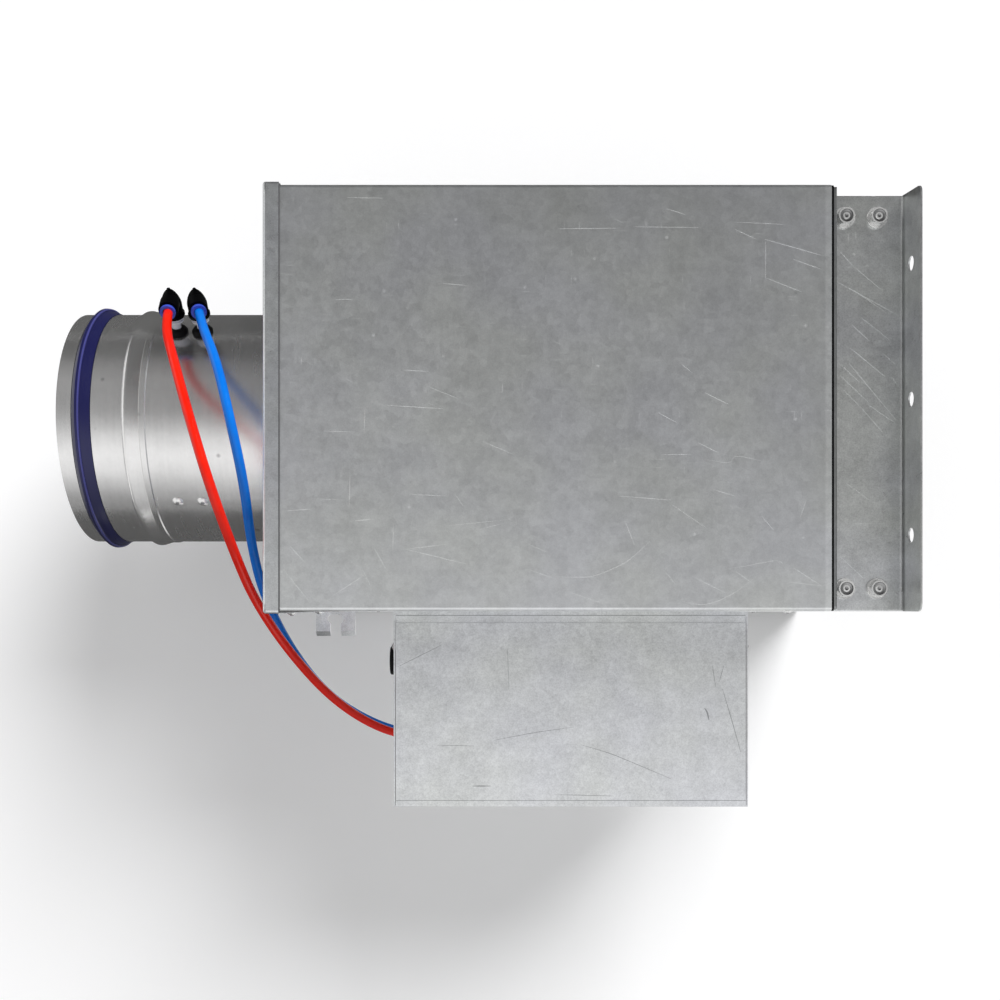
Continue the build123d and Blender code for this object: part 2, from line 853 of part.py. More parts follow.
def make_neck_bolts():
    """Hexagon bolts with washers that join the neck plates to the sides, and their nuts."""
    head_low = bolt_washer_thickness
    bolt = Pos(0, 0, head_low) * hexagon(bolt_hex_flats, bolt_hex_height)
    bolt += Pos(0, 0, head_low / 2) * Cylinder(bolt_washer_radius, head_low)
    bolt += rod_z(bolt_radius, -bolt_length, head_low)
    nut = Pos(0, 0, -2 * sheet) * Rot(180, 0, 0) * hexagon(bolt_hex_flats, nut_height)
    nut -= rod_z(bolt_radius + press_gap, -2 * bolt_length, 0)
    found = []
    for x, y in neck_bolt_places():
        for piece in (bolt, nut):
            found.append(Pos(x, y, neck_half) * piece)
            found.append(Pos(x, y, -neck_half) * Rot(180, 0, 0) * piece)
    return group(found)


# Insulation, in flat boards glued to the sheets

liner_low = sheet - half_height
liner_high = half_height - sheet
liner_front = casing_front + sheet
liner_back = casing_back - lap - fold_gap
liner_half = half_width - sheet


def make_top_liner():
    half = liner_half - (wrap_fold_radius - sheet) - fold_gap
    return block((liner_front, liner_back), (-half, half), (liner_high - liner_thickness, liner_high))


def make_bottom_liner():
    half = half_width - 2 * sheet - tray_side_gap - fold_gap
    back = wrap_back - sheet - fold_gap
    return block((liner_front, back), (-half, half), (liner_low, liner_low + liner_thickness))


def side_liner_limits():
    low = max(liner_low + liner_thickness, tray_lip - half_height)
    return low, liner_high - liner_thickness


def make_side_liner(side):
    low, high = side_liner_limits()
    y = (side * (liner_half - liner_thickness), side * liner_half)
    board = block((liner_front + liner_thickness, liner_back), y, (low, high))
    if side < 0:
        board -= rod_y(bearing_flange_radius, -half_width, liner_thickness - half_width + 5, shaft_x)
    return board


def make_end_liner():
    low, high = side_liner_limits()
    board = block((liner_front, liner_front + liner_thickness), (-liner_half, liner_half), (low, high))
    return board - rod_x(duct_radius + fold_gap, liner_front - 1, liner_front + liner_thickness + 1)


# Hanger brackets

def make_bracket(x, side):
    """Angle bracket with a keyhole open at its edge, for a threaded hanger rod."""
    top = -half_height + bracket_height
    thick = bracket_thickness
    half = bracket_width / 2
    lip_angle = atan2(bracket_lip_drop, bracket_lip_reach)
    flat_end = bracket_reach - bracket_lip_reach
    outline = [
        (0, top),
        (flat_end, top),
        (bracket_reach, top - bracket_lip_drop),
        (bracket_reach - thick * sin(lip_angle), top - bracket_lip_drop - thick * cos(lip_angle)),
        (flat_end - thick * tan(lip_angle / 2), top - thick),
        (thick, top - thick),
        (thick, top - bracket_leg),
        (0, top - bracket_leg),
    ]
    plate = Pos(-half, 0, 0) * extrude(Plane.YZ * make_face(Polyline(*outline, close=True)), bracket_width)
    # Over the end panel's rim there is no leg, and the plate stands clear of the rim
    leg_start = bracket_leg_start()
    rim_clear = sheet + 2 * fold_gap
    plate -= block((-half - 1, leg_start), (-1, thick + 1), (top - thick, top - bracket_leg - 1))
    plate -= block((-half - 1, leg_start), (-1, rim_clear), (top - thick - 1, top + 1))
    keyhole = extrude(RectangleRounded(keyhole_width, keyhole_length, keyhole_corner), 4 * thick, both=True)
    plate -= Pos(0, keyhole_start + keyhole_length / 2, top) * keyhole
    slot = keyhole_slot_width / 2
    plate -= block((-slot, slot), (keyhole_start + keyhole_length / 2, bracket_reach + 1),
                   (top - bracket_leg, top + 1))
    plate = Pos(x, half_width, 0) * plate
    for rivet_x, rivet_side, z in bracket_rivets():
        if rivet_side == side:
            plate -= rod_y(rivet_shank_radius + press_gap, half_width - 1, half_width + 5, rivet_x, z)
    return plate if side > 0 else mirror_y(plate)


# Damper

def make_shaft():
    return rod_y(shaft_radius, duct_radius + shaft_far_overhang, shaft_end, shaft_x)


def make_blade(side):
    """Half of the blade: a disc with a half-round hump over the shaft."""
    radius = bore_radius - blade_gap
    face = shaft_x + side * blade_seal_thickness / 2
    hump_half = radius - hump_inset
    disc = rod_x(radius, face, face + side * blade_thickness)
    hump = rod_y(shaft_radius + press_gap + blade_thickness, -hump_half, hump_half, shaft_x)
    hump &= block((face, face + side * 2 * shaft_radius), (-radius, radius), (-radius, radius))
    blade = disc + hump - rod_y(shaft_radius + press_gap, -radius - 1, radius + 1, shaft_x)
    return blade - blade_rivet_holes()


def blade_rivet_places():
    return [(y, z) for y in (-blade_rivet_y, blade_rivet_y) for z in (-blade_rivet_z, blade_rivet_z)]


def blade_rivet_holes():
    reach = blade_seal_thickness + blade_thickness
    holes = [rod_x(rivet_shank_radius + press_gap, shaft_x - reach, shaft_x + reach, y, z)
             for y, z in blade_rivet_places()]
    return Compound(children=holes)


def make_blade_seal():
    """Rubber between the blade halves, in two half discs beside the shaft."""
    half = blade_seal_thickness / 2
    disc = rod_x(bore_radius - blade_seal_gap, shaft_x - half, shaft_x + half)
    disc -= rod_y(shaft_radius + press_gap, -duct_radius, duct_radius, shaft_x)
    return disc - blade_rivet_holes()


def make_blade_rivets():
    grip = blade_seal_thickness + 2 * blade_thickness
    one = rivet(rivet_head_radius, rivet_head_height, grip)
    one += Pos(0, 0, -grip) * Rot(180, 0, 0) * dome(rivet_head_radius * 0.8, rivet_head_height)
    x = shaft_x + grip / 2
    return group([Pos(x, y, z) * Rot(0, 90, 0) * one for y, z in blade_rivet_places()])


def make_duct_bearing(side):
    """Flanged bush in the duct wall, its flange saddled to the duct."""
    start = bore_radius + 0.2
    bush = rod_y(bearing_flange_radius, side * start, side * (duct_radius + bearing_flange_thickness), shaft_x)
    bush -= rod_x(duct_radius + press_gap, shaft_x - 30, shaft_x + 30)
    bush += rod_y(bearing_radius, side * start, side * (start + bearing_length), shaft_x)
    return bush - rod_y(shaft_radius + running_gap, 0, side * 2 * duct_radius, shaft_x)


def make_wall_bush():
    """Bush that carries the shaft through the casing side and the control box's back."""
    flange_end = box_floor - wall_bush_flange
    bush = rod_y(wall_bush_radius, box_floor, box_back + sheet + wall_bush_nose, shaft_x)
    bush += rod_y(wall_bush_flange_radius, box_floor, flange_end, shaft_x)
    return bush - rod_y(shaft_radius + running_gap, -2 * half_width, 0, shaft_x)


# Control box

def box_strip_block(up):
    """Edge strip of the box's back: full height first, then stepped down under the cover."""
    x = (box_near + sheet, box_far - sheet)
    step = box_floor - box_strip_step
    under = box_half - sheet - box_cover_gap
    strip = block(x, (box_floor, step), (up * (box_half - sheet), up * box_half))
    strip += block(x, (step + sheet, step), (up * (under - sheet), up * box_half))
    strip += block(x, (step, box_back - box_strip), (up * (under - sheet), up * under))
    for edge, inward in ((box_near + sheet, 1), (box_far - sheet, -1)):
        strip += block((edge, edge + inward * sheet), (step - box_strip_seen, box_back - box_strip),
                       (up * (under - box_tab), up * under))
    return strip


def make_box_body(entries):
    back = block((box_near, box_far), (box_back, box_floor), (-box_half, box_half))
    wall_end = box_front + sheet + box_cover_gap
    body = back
    for edge, inward in ((box_near, 1), (box_far, -1)):
        body += block((edge, edge + inward * sheet), (box_floor, wall_end), (-box_half, box_half))
        tall = box_half - sheet - 2 * box_cover_gap
        body += block((edge, edge + inward * box_return), (wall_end + sheet, wall_end), (-tall, tall))
    for up in (1, -1):
        body += box_strip_block(up)
    body -= rod_y(wall_bush_radius + press_gap, box_back + 1, box_floor - 1, shaft_x)
    for x, z in box_back_rivets():
        body -= rod_y(rivet_shank_radius + press_gap, box_back + 1, box_floor - 1, x, z)
    for x, out, z in box_tab_rivets():
        body -= rod_x(rivet_shank_radius + press_gap, x + out, x - 4 * out, box_tab_rivet_y(), z)
    for x, z in cover_screw_places():
        body -= rod_y(cover_screw_radius + 2 * press_gap, wall_end - 1, wall_end + 2 * sheet, x, z)
    for entry in entries:
        body -= rod_x(tube_grommet_radius - 1.5 + press_gap, box_near - 1, box_near + 2, entry.Y, entry.Z)
    y = box_back - cable_grommet_y
    body -= rod_x(cable_grommet_radius - 1.5 + press_gap, box_near - 1, box_near + 2, y, cable_grommet_z)
    return body


def make_box_cover():
    """Channel over the top, front and bottom, which draws off forwards."""
    gap = box_cover_gap
    inner_y = box_front + sheet
    cover = block((box_near, box_far), (box_front, inner_y), (-box_half, box_half))
    back_edge = box_floor - box_strip_step - gap
    back_edge = min(back_edge, box_back - box_strip_seen)
    for up in (1, -1):
        cover += block((box_near + sheet + gap, box_far - sheet - gap), (box_front, back_edge),
                       (up * (box_half - sheet), up * box_half))
    folds = [edge for edge in cover.edges().filter_by(Axis.X)
             if abs(edge.center().Y - box_front) < 0.01]
    cover = fillet(folds, sheet * 0.9)
    for x, z in cover_screw_places():
        cover -= rod_y(cover_screw_radius + press_gap, box_front - 1, box_front + 2 * sheet, x, z)
    return cover


def cover_screw_places():
    xs = (box_near + cover_screw_inset, box_far - cover_screw_inset)
    return [(x, z) for x in xs for z in (cover_screw_z, -cover_screw_z)]


def make_cover_screws():
    found = []
    for x, z in cover_screw_places():
        head = Pos(x, box_front, z) * Rot(90, 0, 0) * dome(cover_screw_head_radius, cover_screw_head_height)
        slot = block((x - 0.5, x + 0.5), (box_front - 3, box_front - 1), (z - 5, z + 5))
        cross_slot = block((x - 5, x + 5), (box_front - 3, box_front - 1), (z - 0.5, z + 0.5))
        slot &= rod_y(cover_screw_head_radius * 0.6, box_front, box_front - 4, x, z)
        cross_slot &= rod_y(cover_screw_head_radius * 0.6, box_front, box_front - 4, x, z)
        shank = rod_y(cover_screw_radius, box_front, box_front + cover_screw_length, x, z)
        found.append(head - slot - cross_slot + shank)
    return group(found)


def make_wall_grommet(y, z, lip_radius, proud, bore, membrane):
    """Rubber grommet in the box's end wall; a membrane closes it where no tube passes."""
    inner = box_near + sheet
    waist = lip_radius - 1.5
    ring = rod_x(lip_radius, box_near - proud, box_near, y, z)
    ring = fillet(ring.faces().sort_by(Axis.X)[0].edges(), min(1.0, proud / 2))
    ring += rod_x(waist, box_near, inner, y, z)
    ring += rod_x(lip_radius, inner, inner + 2, y, z)
    if membrane:
        ring -= rod_x(bore, box_near - proud - 1, box_near - 1, y, z)
        return ring - rod_x(bore, box_near, inner + 3, y, z)
    return ring - rod_x(bore, box_near - proud - 1, inner + 3, y, z)


# Controller and drive

def gear_outline(teeth, shift):
    """Outline of an involute gear, turned by a share of one tooth pitch."""
    pitch = gear_module * teeth / 2
    base = pitch * cos(radians(pressure_angle))
    tip = pitch + gear_addendum * gear_module
    root = pitch - gear_dedendum * gear_module
    half = pi / (2 * teeth) - gear_backlash / (2 * pitch)

    def roll(radius):
        """Involute function at a radius: how far the flank has leaned from its base."""
        angle = acos(min(1.0, base / radius))
        return tan(angle) - angle

    def flank_angle(radius):
        return half + roll(pitch) - roll(max(radius, base))

    start = max(root, base)
    radii = [start + (tip - start) * i / 4 for i in range(5)]
    points = []
    for tooth in range(teeth):
        middle = 2 * pi * (tooth + shift) / teeth
        right = [(r, middle - flank_angle(r)) for r in radii]
        left = [(r, middle + flank_angle(r)) for r in reversed(radii)]
        foot = (flank_angle(start) + pi / teeth) / 2
        feet_right = (root, middle - foot)
        feet_left = (root, middle + foot)
        for radius, angle in [feet_right] + right + left + [feet_left]:
            points.append((radius * cos(angle), radius * sin(angle)))
    return make_face(Polyline(*points, close=True))


def gear_body(teeth, shift, x, start, width):
    """Gear with its axis along Y, from a start towards the box's front."""
    solid = extrude(gear_outline(teeth, shift), width)
    return Pos(x, start, 0) * Rot(90, 0, 0) * solid


def make_output_gear():
    start = controller_back - gear_level
    gear = gear_body(output_teeth, 0.0, shaft_x, start, gear_width)
    gear += rod_y(hub_radius, controller_back + 1, clamp_back, shaft_x)
    return gear - rod_y(shaft_radius + press_gap, controller_back + 2, clamp_back - 1, shaft_x)


def make_intermediate_gear():
    wheel_start = controller_back - wheel_level
    small_start = wheel_start - wheel_width
    small_end = controller_back - gear_level - gear_width
    gear = gear_body(large_teeth, 0.0, idler_x, wheel_start, wheel_width)
    gear += gear_body(small_teeth, 0.5, idler_x, small_start, small_start - small_end)
    return gear - rod_y(axle_radius + running_gap, wheel_start + 1, small_end - 1, idler_x)


def make_motor_pinion():
    start = controller_back - wheel_level
    pinion = gear_body(pinion_teeth, 0.5, motor_x, start, wheel_width)
    return pinion + rod_y(motor_shaft_radius, start + motor_shaft_length, start, motor_x)


def make_motor():
    floor = controller_back - controller_wall
    can = rod_y(motor_radius, floor, floor - motor_length, motor_x)
    return can - rod_y(motor_shaft_radius + running_gap, floor - 4, floor - motor_length - 1, motor_x)


def controller_shell(back, front, open_front):
    """Tray of the controller's outline, open at the front or at the back."""
    x = (controller_near, controller_far)
    z = (-controller_bottom, controller_top)
    wall = controller_wall
    outer = block(x, (back, front), z)
    outer = fillet(outer.edges().filter_by(Axis.Y), 4.0)
    inner_y = (back - wall, front - 1) if open_front else (back + 1, front + wall)
    inner = block((x[0] + wall, x[1] - wall), inner_y, (z[0] + wall, z[1] - wall))
    return outer - inner


def corner_places(inset):
    xs = (controller_near + inset, controller_far - inset)
    zs = (inset - controller_bottom, controller_top - inset)
    return [(x, z) for x in xs for z in zs]


def make_controller_base():
    base = controller_shell(controller_back, controller_split, True)
    base -= rod_y(hub_radius + hub_hole_gap, controller_back + 1, controller_back - 4, shaft_x)
    for x, z in corner_places(foot_inset):
        base += rod_y(foot_radius, box_floor, controller_back, x, z)
    floor = controller_back - controller_wall
    shoulder = controller_back - wheel_level + 0.3
    base += rod_y(axle_shoulder_radius, floor + 1, shoulder, idler_x)
    base += rod_y(axle_radius, shoulder, controller_back - gear_level - gear_width - 2, idler_x)
    return base


def make_controller_lid(nipple_zs):
    lid = controller_shell(controller_split, controller_front, False)
    lid -= rod_y(lid_opening_radius, controller_front - 1, controller_front + 4, shaft_x)
    inner = controller_front + controller_wall
    board_front = controller_back - board_level - board_thickness
    for x, z in corner_places(boss_inset):
        lid += rod_y(boss_radius, inner - 1, board_front, x, z)
    lid -= rod_y(button_radius + 0.1, controller_front - 1, inner + 1, controller_near + button_x, button_z)
    for z in nipple_zs:
        lid -= rod_x(nipple_radius - 1 + press_gap, controller_near - 1, controller_near + 4, nipple_y, z)
    x = controller_near + terminal_x
    lid -= block((x - 1, x + terminal_length + 1), (board_front, board_front - terminal_height - 1),
                 (controller_top - controller_wall - 2, controller_top + 1))
    return lid


def make_board():
    """Circuit board with its larger components."""
    back = controller_back - board_level
    front = back - board_thickness
    gap = controller_wall + 0.5
    board = block((controller_near + gap, controller_far - gap), (back, front),
                  (gap - controller_bottom, controller_top - gap))
    board = fillet(board.edges().filter_by(Axis.Y), 4.0)
    board -= rod_y(lid_opening_radius, back + 1, front - 1, shaft_x)
    chips = ((90, -20, 14, 14, 2), (116, -48, 10, 18, 5), (60, -46, 22, 22, 8), (34, -44, 12, 16, 6))
    for x, z, wide, tall, deep in chips:
        left = controller_near + x
        board += block((left, left + wide), (front, front - deep), (z, z + tall))
    return board


def make_terminal_block():
    back = controller_back - board_level - board_thickness
    x = controller_near + terminal_x
    top = controller_top - controller_wall - 0.5
    body = block((x, x + terminal_length), (back, back - terminal_height), (top - terminal_width, top))
    ways = 6
    pitch = terminal_length / ways
    for i in range(ways):
        middle = x + (i + 0.5) * pitch
        body -= rod_y(pitch * 0.3, back - terminal_height + 4, back - terminal_height - 1, middle, top - 14)
        body -= block((middle - 2, middle + 2), (back - 3, back - 8), (top - 6, top + 1))
    return body


def make_nipple(z):
    nipple = rod_x(nipple_radius, controller_near - nipple_length, controller_near, nipple_y, z)
    nipple += rod_x(nipple_radius - 1, controller_near, controller_near + 6, nipple_y, z)
    return nipple - rod_x(1.2, controller_near - nipple_length + 3, controller_near + 7, nipple_y, z)


def make_release_button():
    inner = controller_front + controller_wall
    x = controller_near + button_x
    button = rod_y(button_radius, controller_front - button_proud, inner + 8, x, button_z)
    button = fillet(button.faces().sort_by(Axis.Y)[0].edges(), 1.0)
    return button + rod_y(button_radius + 2, inner + 0.3, inner + 2.5, x, button_z)


def make_shaft_clamp():
    """Jaw below the shaft, with two holes for the legs of the U-bolt."""
    half = clamp_width / 2
    jaw = block((shaft_x - half, shaft_x + half), (clamp_back, clamp_front), (-clamp_drop, -3))
    jaw -= rod_y(shaft_radius + press_gap, clamp_back + 1, clamp_front - 1, shaft_x)
    middle = (clamp_back + clamp_front) / 2
    for side in (1, -1):
        x = shaft_x + side * u_bolt_centre()
        jaw -= rod_z(u_bolt_radius + press_gap, -clamp_drop - 1, 0, x, middle)
    return jaw


def u_bolt_centre():
    return shaft_radius + press_gap + u_bolt_radius


def make_u_bolt():
    """U-bolt over the shaft, with a nut on each leg."""
    middle = (clamp_back + clamp_front) / 2
    reach = u_bolt_centre()
    hoop = Rot(90, 0, 0) * Torus(reach, u_bolt_radius)
    hoop &= block((-20, 20), (-20, 20), (0, 20))
    for side in (1, -1):
        hoop += rod_z(u_bolt_radius, -u_bolt_drop, 0, side * reach, 0)
    pieces = [hoop]
    for side in (1, -1):
        nut = extrude(RegularPolygon(clamp_nut_flats / 2, 6, major_radius=False), clamp_nut_height)
        nut -= rod_z(u_bolt_radius + press_gap, -1, clamp_nut_height + 1)
        pieces.append(Pos(side * reach, 0, -clamp_drop - clamp_nut_height) * nut)
    return group([Pos(shaft_x, middle, 0) * piece for piece in pieces])


def make_indicator():
    """Cap on the shaft's end with a pointer that lies along the blade."""
    back = clamp_front - 0.3
    front = shaft_end - 2
    cap = rod_y(indicator_radius, back, front, shaft_x)
    half = indicator_width / 2
    cap += block((shaft_x - half, shaft_x + half), (front + 1.5, front),
                 (-indicator_reach, indicator_reach))
    return cap - rod_y(shaft_radius + press_gap, back + 1, shaft_end - press_gap, shaft_x)


def make_anti_rotation_bracket():
    """Angle on the box's back that stops the controller from turning with the shaft."""
    x = controller_far
    z = (-anti_rotation_width, 0)
    leg = block((x, x + anti_rotation_thickness), (box_floor, box_floor - anti_rotation_reach), z)
    return leg + block((x, x + anti_rotation_foot), (box_floor, box_floor - anti_rotation_thickness), z)


# Every piece

red_path = tube_path(red_route)
blue_path = tube_path(blue_route)
wall_middle = box_near + sheet / 2
tube_entries = [crossing(red_path, wall_middle), crossing(blue_path, wall_middle)]
nipple_levels = [red_route[-1][2], blue_route[-1][2]]
high_x, low_x = sensor_places

save("inlet_spigot", make_duct())
save("spigot_lip_seal", make_lip_seal())
save("inlet_end_panel", make_end_panel())
save("casing_wrap", make_casing_wrap())
save("casing_bottom_tray", make_bottom_tray())
save("outlet_end_strip_top", make_end_strip(1))
save("outlet_end_strip_bottom", make_end_strip(-1))
save("outlet_neck_top", make_neck_plate(1))
save("outlet_neck_bottom", make_neck_plate(-1))
save("outlet_neck_side_left", make_neck_side(1))
save("outlet_neck_side_right", make_neck_side(-1))
save("neck_bolts", make_neck_bolts())
save("sheet_rivets", make_sheet_rivets())
save("insulation_top", make_top_liner())
save("insulation_bottom", make_bottom_liner())
save("insulation_side_left", make_side_liner(1))
save("insulation_side_right", make_side_liner(-1))
save("insulation_inlet_end", make_end_liner())
for number, (bracket_x, bracket_side) in enumerate(bracket_places(), 1):
    save("hanger_bracket_" + str(number), make_bracket(bracket_x, bracket_side))

save("flow_cross_upstream", make_flow_cross(high_x, True))
save("flow_cross_downstream", make_flow_cross(low_x, False))
save("sensor_rivets", make_sensor_rivets())
save("tap_grommets", group([make_tap_grommet(x) for x in sensor_places]))
save("tap_stems", group([make_tap_stem(x) for x in sensor_places]))
save("tap_seal_rings", group([make_seal_ring(x) for x in sensor_places]))
save("elbow_fitting_high", make_elbow(high_x, high_elbow_swivel))
save("elbow_fitting_low", make_elbow(low_x, low_elbow_swivel))
save("collet_high", make_collet(high_x, high_elbow_swivel))
save("collet_low", make_collet(low_x, low_elbow_swivel))
save("red_tube", make_tube("red_tube", red_path))
save("blue_tube", make_tube("blue_tube", blue_path))

save("damper_shaft", make_shaft())
save("damper_blade_front", make_blade(-1))
save("damper_blade_rear", make_blade(1))
save("damper_blade_seal", make_blade_seal())
save("blade_rivets", make_blade_rivets())
save("duct_bearings", group([make_duct_bearing(1), make_duct_bearing(-1)]))
save("wall_bush", make_wall_bush())

save("control_box_body", make_box_body(tube_entries))
save("control_box_cover", make_box_cover())
save("cover_screws", make_cover_screws())
save("cable_grommet", make_wall_grommet(box_back - cable_grommet_y, cable_grommet_z,
                                        cable_grommet_radius, cable_grommet_proud, 5.0, True))
save("tube_grommets", group([make_wall_grommet(entry.Y, entry.Z, tube_grommet_radius, tube_grommet_lip,
                                               tube_grommet_bore, False) for entry in tube_entries]))
save("anti_rotation_bracket", make_anti_rotation_bracket())
save("controller_base", make_controller_base())
save("controller_lid", make_controller_lid(nipple_levels))
save("controller_board", make_board())
save("terminal_block", make_terminal_block())
save("pressure_nipples", group([make_nipple(z) for z in nipple_levels]))
save("release_button", make_release_button())
save("drive_motor", make_motor())
save("motor_pinion", make_motor_pinion())
save("intermediate_gear", make_intermediate_gear())
save("output_gear", make_output_gear())
save("shaft_clamp", make_shaft_clamp())
save("clamp_u_bolt", make_u_bolt())
save("position_indicator", make_indicator())
print(len(made), "nodes")
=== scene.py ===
import bpy
import bmesh
from math import cos, pi, radians, sin
from mathutils import Matrix, Vector


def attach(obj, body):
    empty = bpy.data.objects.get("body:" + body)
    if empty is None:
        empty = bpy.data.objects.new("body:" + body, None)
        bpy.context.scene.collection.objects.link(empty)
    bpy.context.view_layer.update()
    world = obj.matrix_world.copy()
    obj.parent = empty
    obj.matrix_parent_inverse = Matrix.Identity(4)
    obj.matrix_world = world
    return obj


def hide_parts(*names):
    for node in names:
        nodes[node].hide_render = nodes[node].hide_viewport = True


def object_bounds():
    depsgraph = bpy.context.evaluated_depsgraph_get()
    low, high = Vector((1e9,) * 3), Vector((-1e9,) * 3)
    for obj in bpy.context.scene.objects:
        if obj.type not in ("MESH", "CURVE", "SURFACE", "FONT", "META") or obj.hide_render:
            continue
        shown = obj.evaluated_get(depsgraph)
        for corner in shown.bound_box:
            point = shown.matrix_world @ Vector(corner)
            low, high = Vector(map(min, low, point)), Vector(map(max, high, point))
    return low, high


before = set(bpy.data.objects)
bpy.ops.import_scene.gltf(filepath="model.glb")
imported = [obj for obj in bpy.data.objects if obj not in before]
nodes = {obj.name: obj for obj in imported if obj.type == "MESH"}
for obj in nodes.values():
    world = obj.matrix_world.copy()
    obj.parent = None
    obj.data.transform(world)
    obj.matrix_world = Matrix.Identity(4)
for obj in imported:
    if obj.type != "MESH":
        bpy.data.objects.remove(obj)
cad_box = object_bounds()
scene = bpy.context.scene
scene.view_settings.view_transform = "Standard"


# Camera: straight above the box, with the airflow from left to right

camera_data = bpy.data.cameras.new("camera")
camera_data.sensor_width = 36.0
camera_data.lens = 41.4
camera_data.shift_x = 0.010
camera_data.shift_y = 0.105
camera_data.clip_start = 0.01
camera_data.clip_end = 50.0
camera = bpy.data.objects.new("camera", camera_data)
camera.location = (0.278, -0.1241, 0.815)
scene.collection.objects.link(camera)
scene.camera = camera


# The two sensing tubes

RED_ROUTE = [
    (0.07228, 0.07001, 0.07565),
    (0.07416, 0.05096, 0.09470),
    (0.0870, 0.0240, 0.1210),
    (0.1030, -0.0150, 0.1460),
    (0.1170, -0.0560, 0.1540),
    (0.1240, -0.0940, 0.1200),
    (0.1265, -0.1220, 0.0730),
    (0.1400, -0.1565, 0.0240),
    (0.1625, -0.1900, -0.0120),
    (0.1900, -0.2120, -0.0300),
    (0.2180, -0.2220, -0.0360),
    (0.2460, -0.2220, -0.0360),
]
BLUE_ROUTE = [
    (0.08960, 0.07011, 0.07555),
    (0.09704, 0.05176, 0.09390),
    (0.1120, 0.0250, 0.1190),
    (0.1240, -0.0120, 0.1360),
    (0.1300, -0.0520, 0.1220),
    (0.1265, -0.0850, 0.0860),
    (0.1265, -0.1180, 0.0450),
    (0.1370, -0.1560, -0.0010),
    (0.1580, -0.1910, -0.0360),
    (0.1880, -0.2120, -0.0500),
    (0.2180, -0.2220, -0.0560),
    (0.2460, -0.2220, -0.0560),
]
TUBE_RADIUS = 0.003


def make_cord(name, node, points):
    curve = bpy.data.curves.new(name, "CURVE")
    curve.dimensions = "3D"
    curve.resolution_u = 20
    # The points' radius carries the thickness, because the curve's box grows with that radius
    curve.bevel_depth = 1.0
    curve.bevel_resolution = 8
    curve.use_fill_caps = True
    spline = curve.splines.new("NURBS")
    spline.points.add(len(points) - 1)
    for point, place in zip(spline.points, points):
        point.co = (*place, 1.0)
        point.radius = TUBE_RADIUS
    spline.order_u = 3
    spline.use_endpoint_u = True
    piece = bpy.data.objects.new(name, curve)
    scene.collection.objects.link(piece)
    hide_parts(node)
    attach(piece, "casing")
    return piece


red_cord = make_cord("red_sensing_tube", "red_tube", RED_ROUTE)
blue_cord = make_cord("blue_sensing_tube", "blue_tube", BLUE_ROUTE)


# Finishes

